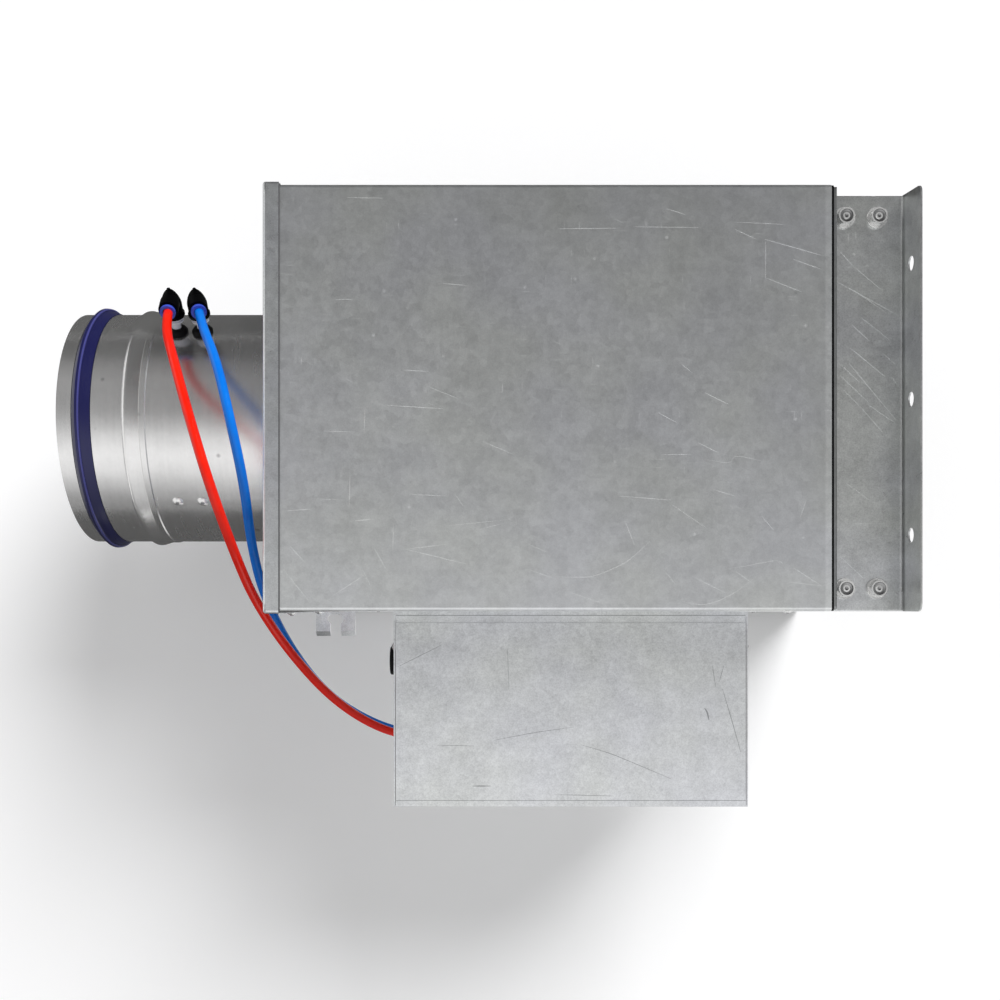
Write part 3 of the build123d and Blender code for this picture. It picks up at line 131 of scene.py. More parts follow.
class Finish:
    """One procedural material, with short calls for the nodes that it needs."""

    def __init__(self, name, colour=(0.8, 0.8, 0.8), roughness=0.5, metallic=0.0):
        self.material = bpy.data.materials.new(name)
        self.material.use_nodes = True
        self.nodes = self.material.node_tree.nodes
        self.links = self.material.node_tree.links
        self.shader = self.nodes["Principled BSDF"]
        self.shader.inputs["Base Color"].default_value = (*colour, 1.0)
        self.shader.inputs["Roughness"].default_value = roughness
        self.shader.inputs["Metallic"].default_value = metallic
        self.place = self.nodes.new("ShaderNodeTexCoord").outputs["Object"]

    def join(self, value, socket):
        """Put a number or another node's output on a socket."""
        if isinstance(value, bpy.types.NodeSocket):
            self.links.new(value, socket)
        else:
            socket.default_value = value

    def math(self, operation, first, second=0.0, third=0.0, clamp=False):
        node = self.nodes.new("ShaderNodeMath")
        node.operation = operation
        node.use_clamp = clamp
        for value, socket in zip((first, second, third), node.inputs):
            self.join(value, socket)
        return node.outputs[0]

    def stretched(self, stretch, turn=(0, 0, 0), start=(0, 0, 0)):
        """Object coordinates turned about the origin, then stretched."""
        node = self.nodes.new("ShaderNodeMapping")
        node.vector_type = "TEXTURE"
        node.inputs["Location"].default_value = start
        node.inputs["Scale"].default_value = [1.0 / factor for factor in stretch]
        node.inputs["Rotation"].default_value = [radians(angle) for angle in turn]
        self.links.new(self.place, node.inputs["Vector"])
        return node.outputs[0]

    def noise(self, scale, detail=2.0, roughness=0.5, stretch=(1, 1, 1), turn=(0, 0, 0),
              distortion=0.0):
        node = self.nodes.new("ShaderNodeTexNoise")
        node.inputs["Scale"].default_value = scale
        node.inputs["Detail"].default_value = detail
        node.inputs["Roughness"].default_value = roughness
        node.inputs["Distortion"].default_value = distortion
        self.links.new(self.stretched(stretch, turn), node.inputs["Vector"])
        return node.outputs["Fac"]

    def cell_texture(self, vector, scale):
        """Distance to the nearest cell point, and a value from 0 to 1 for each cell."""
        node = self.nodes.new("ShaderNodeTexVoronoi")
        node.inputs["Scale"].default_value = scale
        node.inputs["Randomness"].default_value = 1.0
        self.links.new(vector, node.inputs["Vector"])
        split = self.nodes.new("ShaderNodeSeparateColor")
        self.links.new(node.outputs["Color"], split.inputs[0])
        return node.outputs["Distance"], split.outputs[0]

    def cells(self, scale, stretch=(1, 1, 1)):
        """A value from 0 to 1 for each crystal of a spangled coat."""
        return self.cell_texture(self.stretched(stretch), scale)[1]

    def dashes(self, length, width, share, turn=0.0, start=0.0):
        """Short straight scratches in one direction: 1 on a scratch and 0 beside it."""
        stretch = (0.4 / length, 0.4 / width, 0.4 / width)
        vector = self.stretched(stretch, (0, 0, turn), (start, start * 0.7, 0))
        distance, chosen = self.cell_texture(vector, 1.0)
        near = self.span(distance, 0.08, 0.22, 1.0, 0.0)
        return self.math("MULTIPLY", near, self.span(chosen, 1.0 - share, 1.0 - share * 0.9))

    def specks(self, spacing, share, start=0.0):
        """Small round marks, on a share of the cells."""
        vector = self.stretched((1, 1, 1), (0, 0, 20), (start, 0, 0))
        distance, chosen = self.cell_texture(vector, 1.0 / spacing)
        near = self.span(distance, 0.10, 0.26, 1.0, 0.0)
        return self.math("MULTIPLY", near, self.span(chosen, 1.0 - share, 1.0 - share * 0.9))

    def span(self, value, low, high, start=0.0, end=1.0):
        """A value remapped from one range to another, held at both ends."""
        node = self.nodes.new("ShaderNodeMapRange")
        node.clamp = True
        self.links.new(value, node.inputs["Value"])
        ends = {"From Min": low, "From Max": high, "To Min": start, "To Max": end}
        for name, number in ends.items():
            node.inputs[name].default_value = number
        return node.outputs["Result"]

    def total(self, start, parts):
        """A start value plus each part's share of how far it lies from a half."""
        result = start
        for value, share in parts:
            centred = self.math("SUBTRACT", value, 0.5)
            result = self.math("MULTIPLY_ADD", centred, share, result)
        return result

    def scaled_colour(self, colour, factor):
        node = self.nodes.new("ShaderNodeVectorMath")
        node.operation = "SCALE"
        node.inputs[0].default_value = colour
        self.join(factor, node.inputs["Scale"])
        return node.outputs[0]

    def blended(self, share, first, second):
        node = self.nodes.new("ShaderNodeMix")
        node.data_type = "RGBA"
        node.clamp_factor = True
        self.join(share, node.inputs[0])
        for value, socket in ((first, node.inputs[6]), (second, node.inputs[7])):
            if isinstance(value, tuple):
                value = (*value, 1.0)
            self.join(value, socket)
        return node.outputs[2]

    def axes(self):
        """X, Y and Z of the object coordinates, each on its own."""
        node = self.nodes.new("ShaderNodeSeparateXYZ")
        self.links.new(self.place, node.inputs[0])
        return node.outputs["X"], node.outputs["Y"], node.outputs["Z"]

    def colour(self, output):
        self.links.new(output, self.shader.inputs["Base Color"])

    def roughness(self, output):
        self.links.new(output, self.shader.inputs["Roughness"])

    def bump(self, height, distance, strength=1.0):
        node = self.nodes.new("ShaderNodeBump")
        node.inputs["Strength"].default_value = strength
        node.inputs["Distance"].default_value = distance
        self.links.new(height, node.inputs["Height"])
        self.links.new(node.outputs[0], self.shader.inputs["Normal"])

    def set(self, socket, value):
        self.shader.inputs[socket].default_value = value


def galvanised(name, colour, roughness, cloud=0.20, blotch=0.26, grain=0.26, grit=0.30,
               spangle=0.06, scratch=0.28, worn=1.0, metallic=0.92, painted_light=None):
    """Zinc-coated sheet: soft clouds, fine grain, faint crystals and light scratches."""
    finish = Finish(name, colour, roughness, metallic)
    clouds = finish.noise(14.0, 3.0, 0.55)
    blotches = finish.noise(70.0, 3.0, 0.6)
    fine = finish.noise(330.0, 3.0, 0.6)
    gritty = finish.noise(1100.0, 2.0, 0.7)
    crystals = finish.cells(210.0)
    drawn = finish.noise(120.0, 2.0, 0.5, (0.10, 1, 1))
    marks = finish.dashes(0.0080, 0.00036, 0.10 * worn, 0, 0.3)
    for length, width, share, turn, start in ((0.0065, 0.00036, 0.08, 90, 1.1),
                                              (0.0100, 0.00034, 0.035, -27, 2.3),
                                              (0.0220, 0.00030, 0.02, -3, 4.9)):
        dashes = finish.dashes(length, width, share * worn, turn, start)
        marks = finish.math("MAXIMUM", marks, dashes)
    specks = finish.specks(0.0050, 0.03 * worn, 5.0)
    marks = finish.math("MAXIMUM", marks, finish.math("MULTIPLY", specks, 0.8))
    faint = finish.noise(24.0, 2.0, 0.5)
    marks = finish.math("MULTIPLY", marks, finish.span(faint, 0.30, 0.66, 0.25, 1.0))
    dents = finish.specks(0.0052, 0.035, 9.0)
    factor = finish.total(1.0, [(clouds, cloud), (blotches, blotch), (fine, grain),
                                (gritty, grit), (crystals, spangle), (drawn, 0.08)])
    factor = finish.math("MULTIPLY_ADD", dents, -0.08, factor)
    # Painted light on some sheets: the neck fold's painted shade and the casing end's painted
    # highlight
    if painted_light:
        factor = finish.math("MULTIPLY", factor, painted_light(finish))
    greenish = finish.noise(17.0, 2.0, 0.5)
    cool = tuple(value * share for value, share in zip(colour, (0.985, 0.995, 1.018)))
    green = tuple(value * share for value, share in zip(colour, (0.992, 1.006, 0.985)))
    tint = finish.blended(finish.span(greenish, 0.35, 0.65), cool, green)
    paint = finish.nodes.new("ShaderNodeVectorMath")
    paint.operation = "SCALE"
    finish.links.new(tint, paint.inputs[0])
    finish.links.new(factor, paint.inputs["Scale"])
    finish.colour(paint.outputs[0])
    # A scratch scatters light that the smooth coat mirrors away
    metal = finish.math("MULTIPLY_ADD", marks, -scratch, metallic, clamp=True)
    finish.links.new(metal, finish.shader.inputs["Metallic"])
    rough = finish.total(roughness, [(clouds, 0.08), (fine, 0.10), (crystals, 0.05)])
    finish.roughness(finish.math("MULTIPLY_ADD", marks, 0.12, rough))
    broad = finish.noise(7.0, 1.0, 0.5)
    finish.bump(finish.total(0.0, [(broad, 1.0), (fine, 0.02), (blotches, 0.03)]), 0.0008, 0.3)
    return finish.material


def moulded(name, colour, roughness=0.35, speckle=0.06, grain_height=0.00004, specular=0.5):
    """Moulded plastic or rubber with a fine skin and slightly uneven gloss."""
    finish = Finish(name, colour, roughness)
    fine = finish.noise(900.0, 2.0, 0.6)
    broad = finish.noise(60.0, 3.0, 0.5)
    factor = finish.total(1.0, [(fine, speckle), (broad, speckle)])
    finish.colour(finish.scaled_colour(colour, factor))
    finish.roughness(finish.total(roughness, [(fine, 0.08), (broad, 0.10)]))
    finish.bump(fine, grain_height, 0.6)
    finish.set("Specular IOR Level", specular)
    return finish.material


def tubing(name, colour, shade):
    """Soft extruded tubing: clear colour and a glossy skin with fine drawn lines."""
    finish = Finish(name, colour, 0.22)
    long_lines = finish.noise(180.0, 2.0, 0.5)
    patches = finish.noise(45.0, 2.0, 0.5)
    tone = finish.total(0.5, [(long_lines, 0.7), (patches, 0.9)])
    finish.colour(finish.blended(tone, shade, colour))
    finish.roughness(finish.total(0.20, [(patches, 0.10), (long_lines, 0.04)]))
    finish.bump(long_lines, 0.00003, 0.5)
    finish.set("Specular IOR Level", 0.30)
    return finish.material


def turned_metal(name, colour, roughness, metallic=1.0, flecks=0.12):
    """Plated steel fasteners and bars, with fine wear."""
    finish = Finish(name, colour, roughness, metallic)
    fine = finish.noise(700.0, 3.0, 0.6)
    broad = finish.noise(120.0, 3.0, 0.6)
    factor = finish.total(1.0, [(fine, flecks), (broad, flecks)])
    finish.colour(finish.scaled_colour(colour, factor))
    finish.roughness(finish.total(roughness, [(fine, 0.15), (broad, 0.10)]))
    finish.bump(fine, 0.00005, 0.5)
    return finish.material


def spun_duct(name, colour, roughness):
    """Rolled duct: fine lines round the hoop, soft stains and a few dark marks."""
    finish = Finish(name, colour, roughness, 0.94)
    hoops = finish.noise(420.0, 2.0, 0.6, (1, 0.05, 0.05))
    wide_hoops = finish.noise(70.0, 2.0, 0.5, (1, 0.10, 0.10))
    stains = finish.noise(16.0, 4.0, 0.6, distortion=0.5)
    clouds = finish.noise(60.0, 4.0, 0.6)
    fine = finish.noise(500.0, 2.0, 0.6)
    dark = finish.specks(0.0075, 0.03, 7.3)
    factor = finish.total(1.0, [(hoops, 0.10), (wide_hoops, 0.12), (stains, 0.20),
                                (clouds, 0.20), (fine, 0.06)])
    factor = finish.math("MULTIPLY_ADD", dark, -0.4, factor)
    finish.colour(finish.scaled_colour(colour, factor))
    finish.roughness(finish.total(roughness, [(stains, 0.12), (hoops, 0.06)]))
    broad = finish.noise(12.0, 1.0, 0.5)
    finish.bump(finish.total(0.0, [(hoops, 0.01), (broad, 1.0)]), 0.0004, 0.3)
    return finish.material


def fibrous(name, colour):
    """Mineral wool board with a dark facing: coarse matted fibres."""
    finish = Finish(name, colour, 0.95)
    fibres = finish.noise(320.0, 4.0, 0.7, (1, 0.25, 1), (0, 0, 30))
    crossing = finish.noise(320.0, 4.0, 0.7, (0.25, 1, 1), (0, 0, 15))
    clumps = finish.noise(60.0, 3.0, 0.6)
    factor = finish.total(1.0, [(fibres, 0.5), (crossing, 0.5), (clumps, 0.35)])
    finish.colour(finish.scaled_colour(colour, factor))
    finish.bump(finish.total(0.0, [(fibres, 1.0), (crossing, 1.0)]), 0.0006, 0.8)
    return finish.material


def fold_painted_shade(finish):
    """Painted shade in the inside fold between the neck's plates and their flanges: the sheet is
    darkened there.
    """
    x, _, z = finish.axes()
    height = finish.math("ABSOLUTE", z)
    near_flange = finish.span(x, 0.5296, 0.5304)
    above_plate = finish.span(height, 0.10705, 0.1073)
    below_face = finish.span(height, 0.1095, 0.1125, 1.0, 0.25)
    amount = finish.math("MULTIPLY", finish.math("MULTIPLY", near_flange, above_plate), below_face)
    return finish.math("MULTIPLY_ADD", amount, -0.5, 1.0)


def outlet_end_painted_highlight(finish):
    """Painted highlight: the sheet is made brighter in a narrow line along the wrap's outlet end.
    """
    x, _, _ = finish.axes()
    return finish.math("MULTIPLY_ADD", finish.span(x, 0.4780, 0.4795), 0.16, 1.0)


SLOT_FINISH = {
    # The casing's sheet takes a painted highlight along the wrap's outlet end
    "casing_sheet": galvanised("casing_sheet", (0.70, 0.705, 0.705), 0.34, grit=0.22, grain=0.22,
                               painted_light=outlet_end_painted_highlight),
    # The neck's sheet takes a painted shade in its inside fold
    "neck_sheet": galvanised("neck_sheet", (0.72, 0.725, 0.72), 0.32, cloud=0.40, blotch=0.45,
                             grit=0.6, scratch=0.4, worn=1.6, painted_light=fold_painted_shade),
    "box_sheet": galvanised("box_sheet", (0.71, 0.715, 0.72), 0.34, cloud=0.16, blotch=0.36,
                            grain=0.36, grit=0.60, scratch=0.2, worn=0.5),
    "spigot_steel": spun_duct("spigot_steel", (0.75, 0.745, 0.735), 0.25),
    "zinc_hardware": turned_metal("zinc_hardware", (0.84, 0.84, 0.83), 0.22, 0.65),
    "seal_rubber": moulded("seal_rubber", (0.009, 0.010, 0.068), 0.30, 0.14, specular=0.45),
    "black_rubber": moulded("black_rubber", (0.0025, 0.0025, 0.003), 0.55, 0.1, specular=0.15),
    "mineral_wool": fibrous("mineral_wool", (0.60, 0.57, 0.49)),
    "aluminium_extrusion": turned_metal("aluminium_extrusion", (0.72, 0.73, 0.74), 0.32),
    "white_plastic": moulded("white_plastic", (0.84, 0.86, 0.92), 0.30, 0.03),
    "black_plastic": moulded("black_plastic", (0.0010, 0.0010, 0.0014), 0.35, 0.08, specular=0.06),
    "blue_plastic": moulded("blue_plastic", (0.045, 0.085, 0.56), 0.28, 0.06),
    "red_tube_plastic": tubing("red_tube_plastic", (0.96, 0.018, 0.002), (0.80, 0.008, 0.001)),
    "blue_tube_plastic": tubing("blue_tube_plastic", (0.0004, 0.20, 0.80), (0.0003, 0.15, 0.68)),
    "blade_sheet": galvanised("blade_sheet", (0.66, 0.665, 0.67), 0.32, worn=0.5),
    "steel_bar": turned_metal("steel_bar", (0.60, 0.60, 0.61), 0.26),
    "bearing_plastic": moulded("bearing_plastic", (0.018, 0.018, 0.020), 0.45, 0.08, specular=0.3),
    "controller_plastic": moulded("controller_plastic", (0.55, 0.57, 0.56), 0.45, 0.04),
    "lid_plastic": moulded("lid_plastic", (0.72, 0.72, 0.70), 0.42, 0.03),
    "circuit_board": moulded("circuit_board", (0.006, 0.085, 0.022), 0.35, 0.25),
    "terminal_plastic": moulded("terminal_plastic", (0.02, 0.22, 0.06), 0.35, 0.05),
    "gear_plastic": moulded("gear_plastic", (0.76, 0.74, 0.66), 0.38, 0.03),
    "motor_can": turned_metal("motor_can", (0.60, 0.60, 0.61), 0.3),
    "brass_pinion": turned_metal("brass_pinion", (0.70, 0.48, 0.18), 0.25),
    "indicator_plastic": moulded("indicator_plastic", (0.78, 0.16, 0.01), 0.35, 0.04),
}

NODE_SLOTS = {
    "casing_sheet": ["inlet_end_panel", "casing_wrap", "casing_bottom_tray",
                     "outlet_end_strip_top", "outlet_end_strip_bottom"],
    "neck_sheet": ["outlet_neck_top", "outlet_neck_bottom", "outlet_neck_side_left",
                   "outlet_neck_side_right", "hanger_bracket_1", "hanger_bracket_2",
                   "hanger_bracket_3", "hanger_bracket_4"],
    "spigot_steel": ["inlet_spigot"],
    "seal_rubber": ["spigot_lip_seal"],
    "zinc_hardware": ["neck_bolts", "sheet_rivets", "sensor_rivets", "blade_rivets",
                      "shaft_clamp", "clamp_u_bolt", "cover_screws"],
    "mineral_wool": ["insulation_top", "insulation_bottom", "insulation_side_left",
                     "insulation_side_right", "insulation_inlet_end"],
    "aluminium_extrusion": ["flow_cross_upstream", "flow_cross_downstream"],
    "black_rubber": ["tap_grommets", "cable_grommet", "tube_grommets", "damper_blade_seal"],
    "white_plastic": ["tap_stems", "tap_seal_rings"],
    "black_plastic": ["elbow_fitting_high", "elbow_fitting_low", "pressure_nipples"],
    "blue_plastic": ["collet_high", "collet_low", "release_button"],
    "red_tube_plastic": ["red_tube"],
    "blue_tube_plastic": ["blue_tube"],
    "bearing_plastic": ["duct_bearings", "wall_bush"],
    "box_sheet": ["control_box_body", "control_box_cover", "anti_rotation_bracket"],
    "controller_plastic": ["controller_base"],
    "lid_plastic": ["controller_lid"],
    "circuit_board": ["controller_board"],
    "terminal_plastic": ["terminal_block"],
    "motor_can": ["drive_motor"],
    "steel_bar": ["damper_shaft"],
    "blade_sheet": ["damper_blade_front", "damper_blade_rear"],
    "gear_plastic": ["output_gear", "intermediate_gear"],
    "brass_pinion": ["motor_pinion"],
    "indicator_plastic": ["position_indicator"],
}


def dress(piece, material):
    """Give every material slot of a piece the same finish."""
    if not piece.data.materials:
        piece.data.materials.append(material)
    for index in range(len(piece.data.materials)):
        piece.data.materials[index] = material


for slot_name, members in NODE_SLOTS.items():
    for member in members:
        dress(nodes[member], SLOT_FINISH[slot_name])

# The end strips' sheet is a darker, duller copy of the casing's, as painted shade for the strips,
# and the end panel's is coarser
SHADED_STRIP_FINISH = galvanised("shaded_strip", (0.36, 0.365, 0.365), 0.42, metallic=0.96)
for member in ("outlet_end_strip_top", "outlet_end_strip_bottom"):
    dress(nodes[member], SHADED_STRIP_FINISH)
dress(nodes["inlet_end_panel"], galvanised("bright_panel", (0.66, 0.67, 0.675), 0.32, grit=0.5))

dress(red_cord, SLOT_FINISH["red_tube_plastic"])
dress(blue_cord, SLOT_FINISH["blue_tube_plastic"])


# Small pieces that the photograph shows on the sheets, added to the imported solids

MM = 0.001

# Levels of the sheets' upper faces, in millimetres
CASING_TOP = 127.0
NECK_TOP = 107.0
BOX_TOP = 75.0

# Heights of the low ridges that stand for scratches and for painted shade lines
SCRATCH_RISE = 0.05
SHADE_LINE_RISE = 0.04


def add_piece(name, shape, materials, body, smooth_angle=40.0):
    """A closed mesh in millimetres becomes a piece that rides on a body."""
    bmesh.ops.recalc_face_normals(shape, faces=shape.faces[:])
    bmesh.ops.scale(shape, vec=(MM, MM, MM), verts=shape.verts[:])
    mesh = bpy.data.meshes.new(name)
    shape.to_mesh(mesh)
    shape.free()
    for material in materials:
        mesh.materials.append(material)
    mesh.shade_smooth()
    mesh.set_sharp_from_angle(angle=radians(smooth_angle))
    piece = bpy.data.objects.new(name, mesh)
    scene.collection.objects.link(piece)
    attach(piece, body)
    return piece


# Scratches and scuffs on the top sheets: a width, then places in millimetres along each

CASING_SCRATCHES = [
    (0.3, 185.3, 58.8, 195.8, 58.8), (0.3, 250.1, 68.3, 264, 67.1),
    (0.3, 225.2, 16.5, 241.1, 15.7), (0.35, 216.2, -4.6, 250.1, -6.6),
    (0.3, 178.3, -20, 197.2, -20.6), (0.25, 173.3, -60.5, 189.3, -61.3),
    (0.3, 231.1, -57.9, 252.1, -58.9), (0.3, 257.1, -57.9, 262, -64.9),
    (0.35, 153.4, -67.9, 173.3, -66.5), (0.3, 196.2, -73.8, 208.2, -72.8),
    (0.25, 220.2, -74.8, 219.8, -92.8), (0.3, 226.2, -90.8, 252.1, -87.8),
    (0.35, 226.2, -90.4, 265, -99.8), (0.35, 208.6, -89.8, 215.8, -102.8),
    (0.4, 158.3, -88.8, 167.3, -98.8), (0.4, 154.4, -102.8, 170.3, -122.7),
    (0.3, 182.3, -119.7, 203.2, -105.8), (0.3, 202.2, -103.8, 206.6, -112.7),
    (0.25, 194.2, -46.9, 193.8, -64.9), (0.25, 273, -26, 292, -34),
    (0.3, 300.9, -102.8, 314.9, -107.7), (0.25, 252.1, -76.8, 290, -72.8),
    (0.3, 300.9, -87.8, 312.9, -92.8), (0.25, 192.2, 119.6, 214.2, 119.4),
    (0.25, 240.1, 6.9, 260.1, -1.1), (0.25, 272, -78.8, 288, -74.8),
    (0.25, 203.2, -6, 202.6, -21), (0.35, 318.9, 101, 353.8, 101.4),
    (0.3, 364.7, 102.2, 402.6, 101.8), (0.25, 425.6, 105, 454.5, 103.6),
    (0.3, 383.7, 113, 394.7, 109.6), (0.35, 442.5, 94.7, 476.4, 85.1),
    (0.3, 459.5, 82.7, 476.4, 76.7), (0.3, 442.9, 93.7, 442.9, 70.7),
    (0.3, 442.9, 71.7, 464.5, 63.2), (0.3, 424.6, 100.6, 437.5, 94.7),
    (0.3, 392.7, 19.9, 399, 14.9), (0.35, 406.6, 2.9, 420.6, -4), (0.35, 378.7, -9, 389.7, -15),
    (0.35, 402.6, -27, 414.6, -33), (0.3, 380.7, -34, 398.6, -34),
    (0.35, 354.8, -58.9, 386.7, -61.3), (0.3, 411.6, -54.9, 424.6, -58.9),
    (0.4, 467.4, -60.9, 463.5, -71.9), (0.3, 440.5, -70.9, 448.1, -79.8),
    (0.3, 358.8, -73.8, 364.7, -88.8), (0.25, 386.7, -63.9, 408.6, -78.8),
    (0.4, 316.9, -107.1, 328.9, -107.5, 340.8, -106.4, 356.8, -99.8, 365.7, -93.4, 373.7, -85.8),
    (0.4, 392.7, -121.7, 406.6, -123.7, 422.6, -117.7, 437.5, -106.8),
    (0.3, 424.6, -103.8, 434.5, -110.7), (0.35, 459.5, -101.8, 476.4, -112.7),
    (0.3, 456.5, -110.3, 476.4, -112.7), (0.3, 400.6, -107.7, 418.6, -116.7),
    (0.3, 416.6, -102.8, 428.6, -101.2, 440.5, -98.8, 450.5, -97.8, 454.5, -101.8),
    (0.3, 323.9, -115.7, 346.8, -123.7), (0.3, 382.7, -103.8, 389.7, -112.7),
    (0.25, 407.6, -37, 420.6, -38.9, 425.6, -35, 440.5, -38),
]
NECK_SCRATCHES = [
    (0.4, 493.3, 93.7, 501, 85.2), (0.4, 502.6, 83.7, 518.7, 70.1),
    (0.4, 492.6, 74.4, 530.3, 53.7), (0.45, 500.6, 48.6, 511.8, 38.3),
    (0.45, 499.5, 34.4, 521, 16.7), (0.3, 506.4, 52.9, 524.1, 39), (0.45, 520.3, 30.6, 528, 23.7),
    (0.35, 492.6, 25.2, 505.6, 12.9), (0.4, 498.7, 25.2, 528, -10.2),
    (0.35, 493.3, 17.5, 511, 0.6), (0.4, 511, -1, 527.2, -11.7), (0.3, 506.4, -2.5, 522.6, -21),
    (0.3, 495.6, -47.9, 512.6, -60.2), (0.4, 493.3, -94.1, 509.5, -109),
    (0.4, 514.1, -99.5, 522.6, -104.1), (0.25, 493.3, -74.1, 521.8, -74.1),
    (0.4, 525.6, 16, 530.3, 9.8), (0.25, 501.8, 69.8, 521.8, 56), (0.25, 494.1, 9.8, 507.9, -4),
]
BOX_SCRATCHES = [
    (0.35, 289.2, -151.1, 312.7, -152.6, 336.3, -152.6, 364.2, -151.1),
    (0.3, 375, -149.6, 398.5, -151.8, 413.6, -154.3, 424.3, -156.5),
    (0.3, 319.2, -138.3, 328.8, -136.8), (0.6, 295.6, -211.2, 306.3, -210.1, 317, -208),
    (0.25, 340.6, -214, 366.4, -222.6),
]
BOX_SCUFFS = [
    (0.4, 336.3, -214, 353.5, -219.1, 366.4, -224.1, 394.3, -235.9),
    (0.35, 218.4, -164, 246.3, -150.1), (0.3, 319.2, -246.1, 357.8, -247),
    (0.3, 280.6, -211.2, 306.3, -206.3, 332.1, -202.6), (0.35, 421.1, -162.9, 423.2, -176.9),
    (0.3, 428.6, -162.9, 425.4, -173.6), (0.4, 427.5, -177.9, 433.9, -199.4, 439.3, -218.7),
    (0.9, 416.1, -190.4, 417.8, -193.4, 418.9, -198.3), (0.25, 289.2, -152.2, 290.2, -177.9),
    (0.7, 266.6, -240.6, 278.4, -240.6), (0.3, 244.1, -214.4, 267.7, -214.8),
]


def curve_through(points, steps=6):
    """Smooth line through the points, by the Catmull-Rom rule."""
    if len(points) == 2:
        first, last = points
        return [first.lerp(last, i / steps) for i in range(steps + 1)]
    found = []
    for i in range(len(points) - 1):
        a = points[max(i - 1, 0)]
        b, c = points[i], points[i + 1]
        d = points[min(i + 2, len(points) - 1)]
        for step in range(steps):
            t = step / steps
            found.append(0.5 * (2 * b + (c - a) * t + (2 * a - 5 * b + 4 * c - d) * t ** 2
                                + (3 * b - a - 3 * c + d) * t ** 3))
    return found + [points[-1]]


def add_burr(shape, points, width, level, rise=SCRATCH_RISE, tapered=True):
    """Low ridge with a triangular section along a line on a flat sheet."""
    line = curve_through([Vector((x, y, level)) for x, y in points])
    rows = []
    for i, place in enumerate(line):
        along = line[min(i + 1, len(line) - 1)] - line[max(i - 1, 0)]
        across = Vector((-along.y, along.x, 0)).normalized()
        share = i / (len(line) - 1)
        half = width / 2
        if tapered:
            half *= sin(pi * min(max(share, 0.06), 0.94)) ** 0.5
        corners = (place - across * half, place + Vector((0, 0, rise)), place + across * half)
        rows.append([shape.verts.new(corner) for corner in corners])
    for low, high in zip(rows, rows[1:]):
        for i in range(3):
            j = (i + 1) % 3
            shape.faces.new((low[i], low[j], high[j], high[i]))
    shape.faces.new(rows[0])
    shape.faces.new(rows[-1])


def add_scratches(name, marks, level, material, body="casing"):
    shape = bmesh.new()
    for width, *places in marks:
        add_burr(shape, list(zip(places[::2], places[1::2])), width, level)
    add_piece(name, shape, [material], body, 20.0)


def ring_of(shape, radius_at, height, place, count):
    """One ring of points; a radius of zero is a single point."""
    if radius_at is None:
        return [shape.verts.new(place @ Vector((0, 0, height)))]
    found = []
    for i in range(count):
        angle = 2 * pi * i / count
        radius = radius_at(angle)
        corner = Vector((radius * cos(angle), radius * sin(angle), height))
        found.append(shape.verts.new(place @ corner))
    return found


def hexagonal(flats, cap):
    """Radius of a hexagon at an angle, no larger than a round cap."""
    def radius_at(angle):
        turn = (angle + pi / 6) % (pi / 3) - pi / 6
        return min(flats / 2 / cos(turn), cap)
    return radius_at


def add_turned(shape, profile, place, count=48, closed=False):
    """Body of revolution, or of a hexagon, from rows of (radius, height, material)."""
    rings = []
    for radius, height, _ in profile:
        if radius == 0:
            radius_at = None
        elif callable(radius):
            radius_at = radius
        else:
            radius_at = (lambda fixed: lambda angle: fixed)(radius)
        rings.append(ring_of(shape, radius_at, height, place, count))
    pairs = list(zip(rings, rings[1:], profile[1:]))
    if closed:
        pairs.append((rings[-1], rings[0], profile[0]))
    for low, high, (_, _, material) in pairs:
        for i in range(count):
            j = (i + 1) % count
            corners = [low[i % len(low)], low[j % len(low)],
                       high[j % len(high)], high[i % len(high)]]
            face = shape.faces.new(list(dict.fromkeys(corners)))
            face.material_index = material


def standing(x, y, z, normal):
    """Frame at a place whose Z points along a direction."""
    turn = Vector(normal).to_track_quat("Z", "Y").to_matrix().to_4x4()
    return Matrix.Translation((x, y, z)) @ turn


def make_neck_bolts():
    """M6 flange bolts with a dished head, washer and turned thread, and their nuts."""
    flats = 10.0
    threads = [(3.0 - 0.35 * (i % 2), -11.2 + 0.5 * i, 0) for i in range(17)]
    sides, chamfer, nut_sides = hexagonal(flats, 5.7), hexagonal(flats, 5.3), hexagonal(flats, 5.6)
    bolt = [(0, -12.0, 0), (2.3, -12.0, 0)] + threads + [
        (3.0, -2.4, 0), (3.0, 0.0, 0), (6.3, 0.0, 0), (6.5, 0.2, 0), (6.5, 1.35, 0), (6.2, 1.6, 0),
        (sides, 1.6, 0), (sides, 4.7, 0), (chamfer, 5.4, 0), (4.85, 5.8, 0), (4.0, 5.8, 0),
        (3.75, 5.3, 1), (3.3, 5.0, 1), (2.3, 4.9, 1), (2.0, 5.15, 0), (1.2, 5.2, 0),
        (0.8, 4.9, 1), (0, 4.85, 1)]
    nut = [(3.05, -2.0, 0), (4.7, -2.0, 0), (nut_sides, -2.5, 0), (nut_sides, -6.4, 0),
           (4.8, -6.9, 0), (3.5, -7.0, 0), (3.05, -6.6, 0)]
    shape = bmesh.new()
    for x in (496.0, 516.0):
        for y in (-114.0, 114.0):
            for up in (1, -1):
                # Each head stops at an angle of its own, as tightened bolts do
                turn = Matrix.Rotation(radians(17 * x + y), 4, "Z")
                place = standing(x, y, up * NECK_TOP, (0, 0, up)) @ turn
                add_turned(shape, bolt, place)
                add_turned(shape, nut, place, closed=True)
    # The dish and the dimple of each head take the dark finish: painted shade in the recesses
    finishes = [SLOT_FINISH["zinc_hardware"], RECESS_SHADE_FINISH]
    piece = add_piece("neck_flange_bolts", shape, finishes, "casing", 35.0)
    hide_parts("neck_bolts")


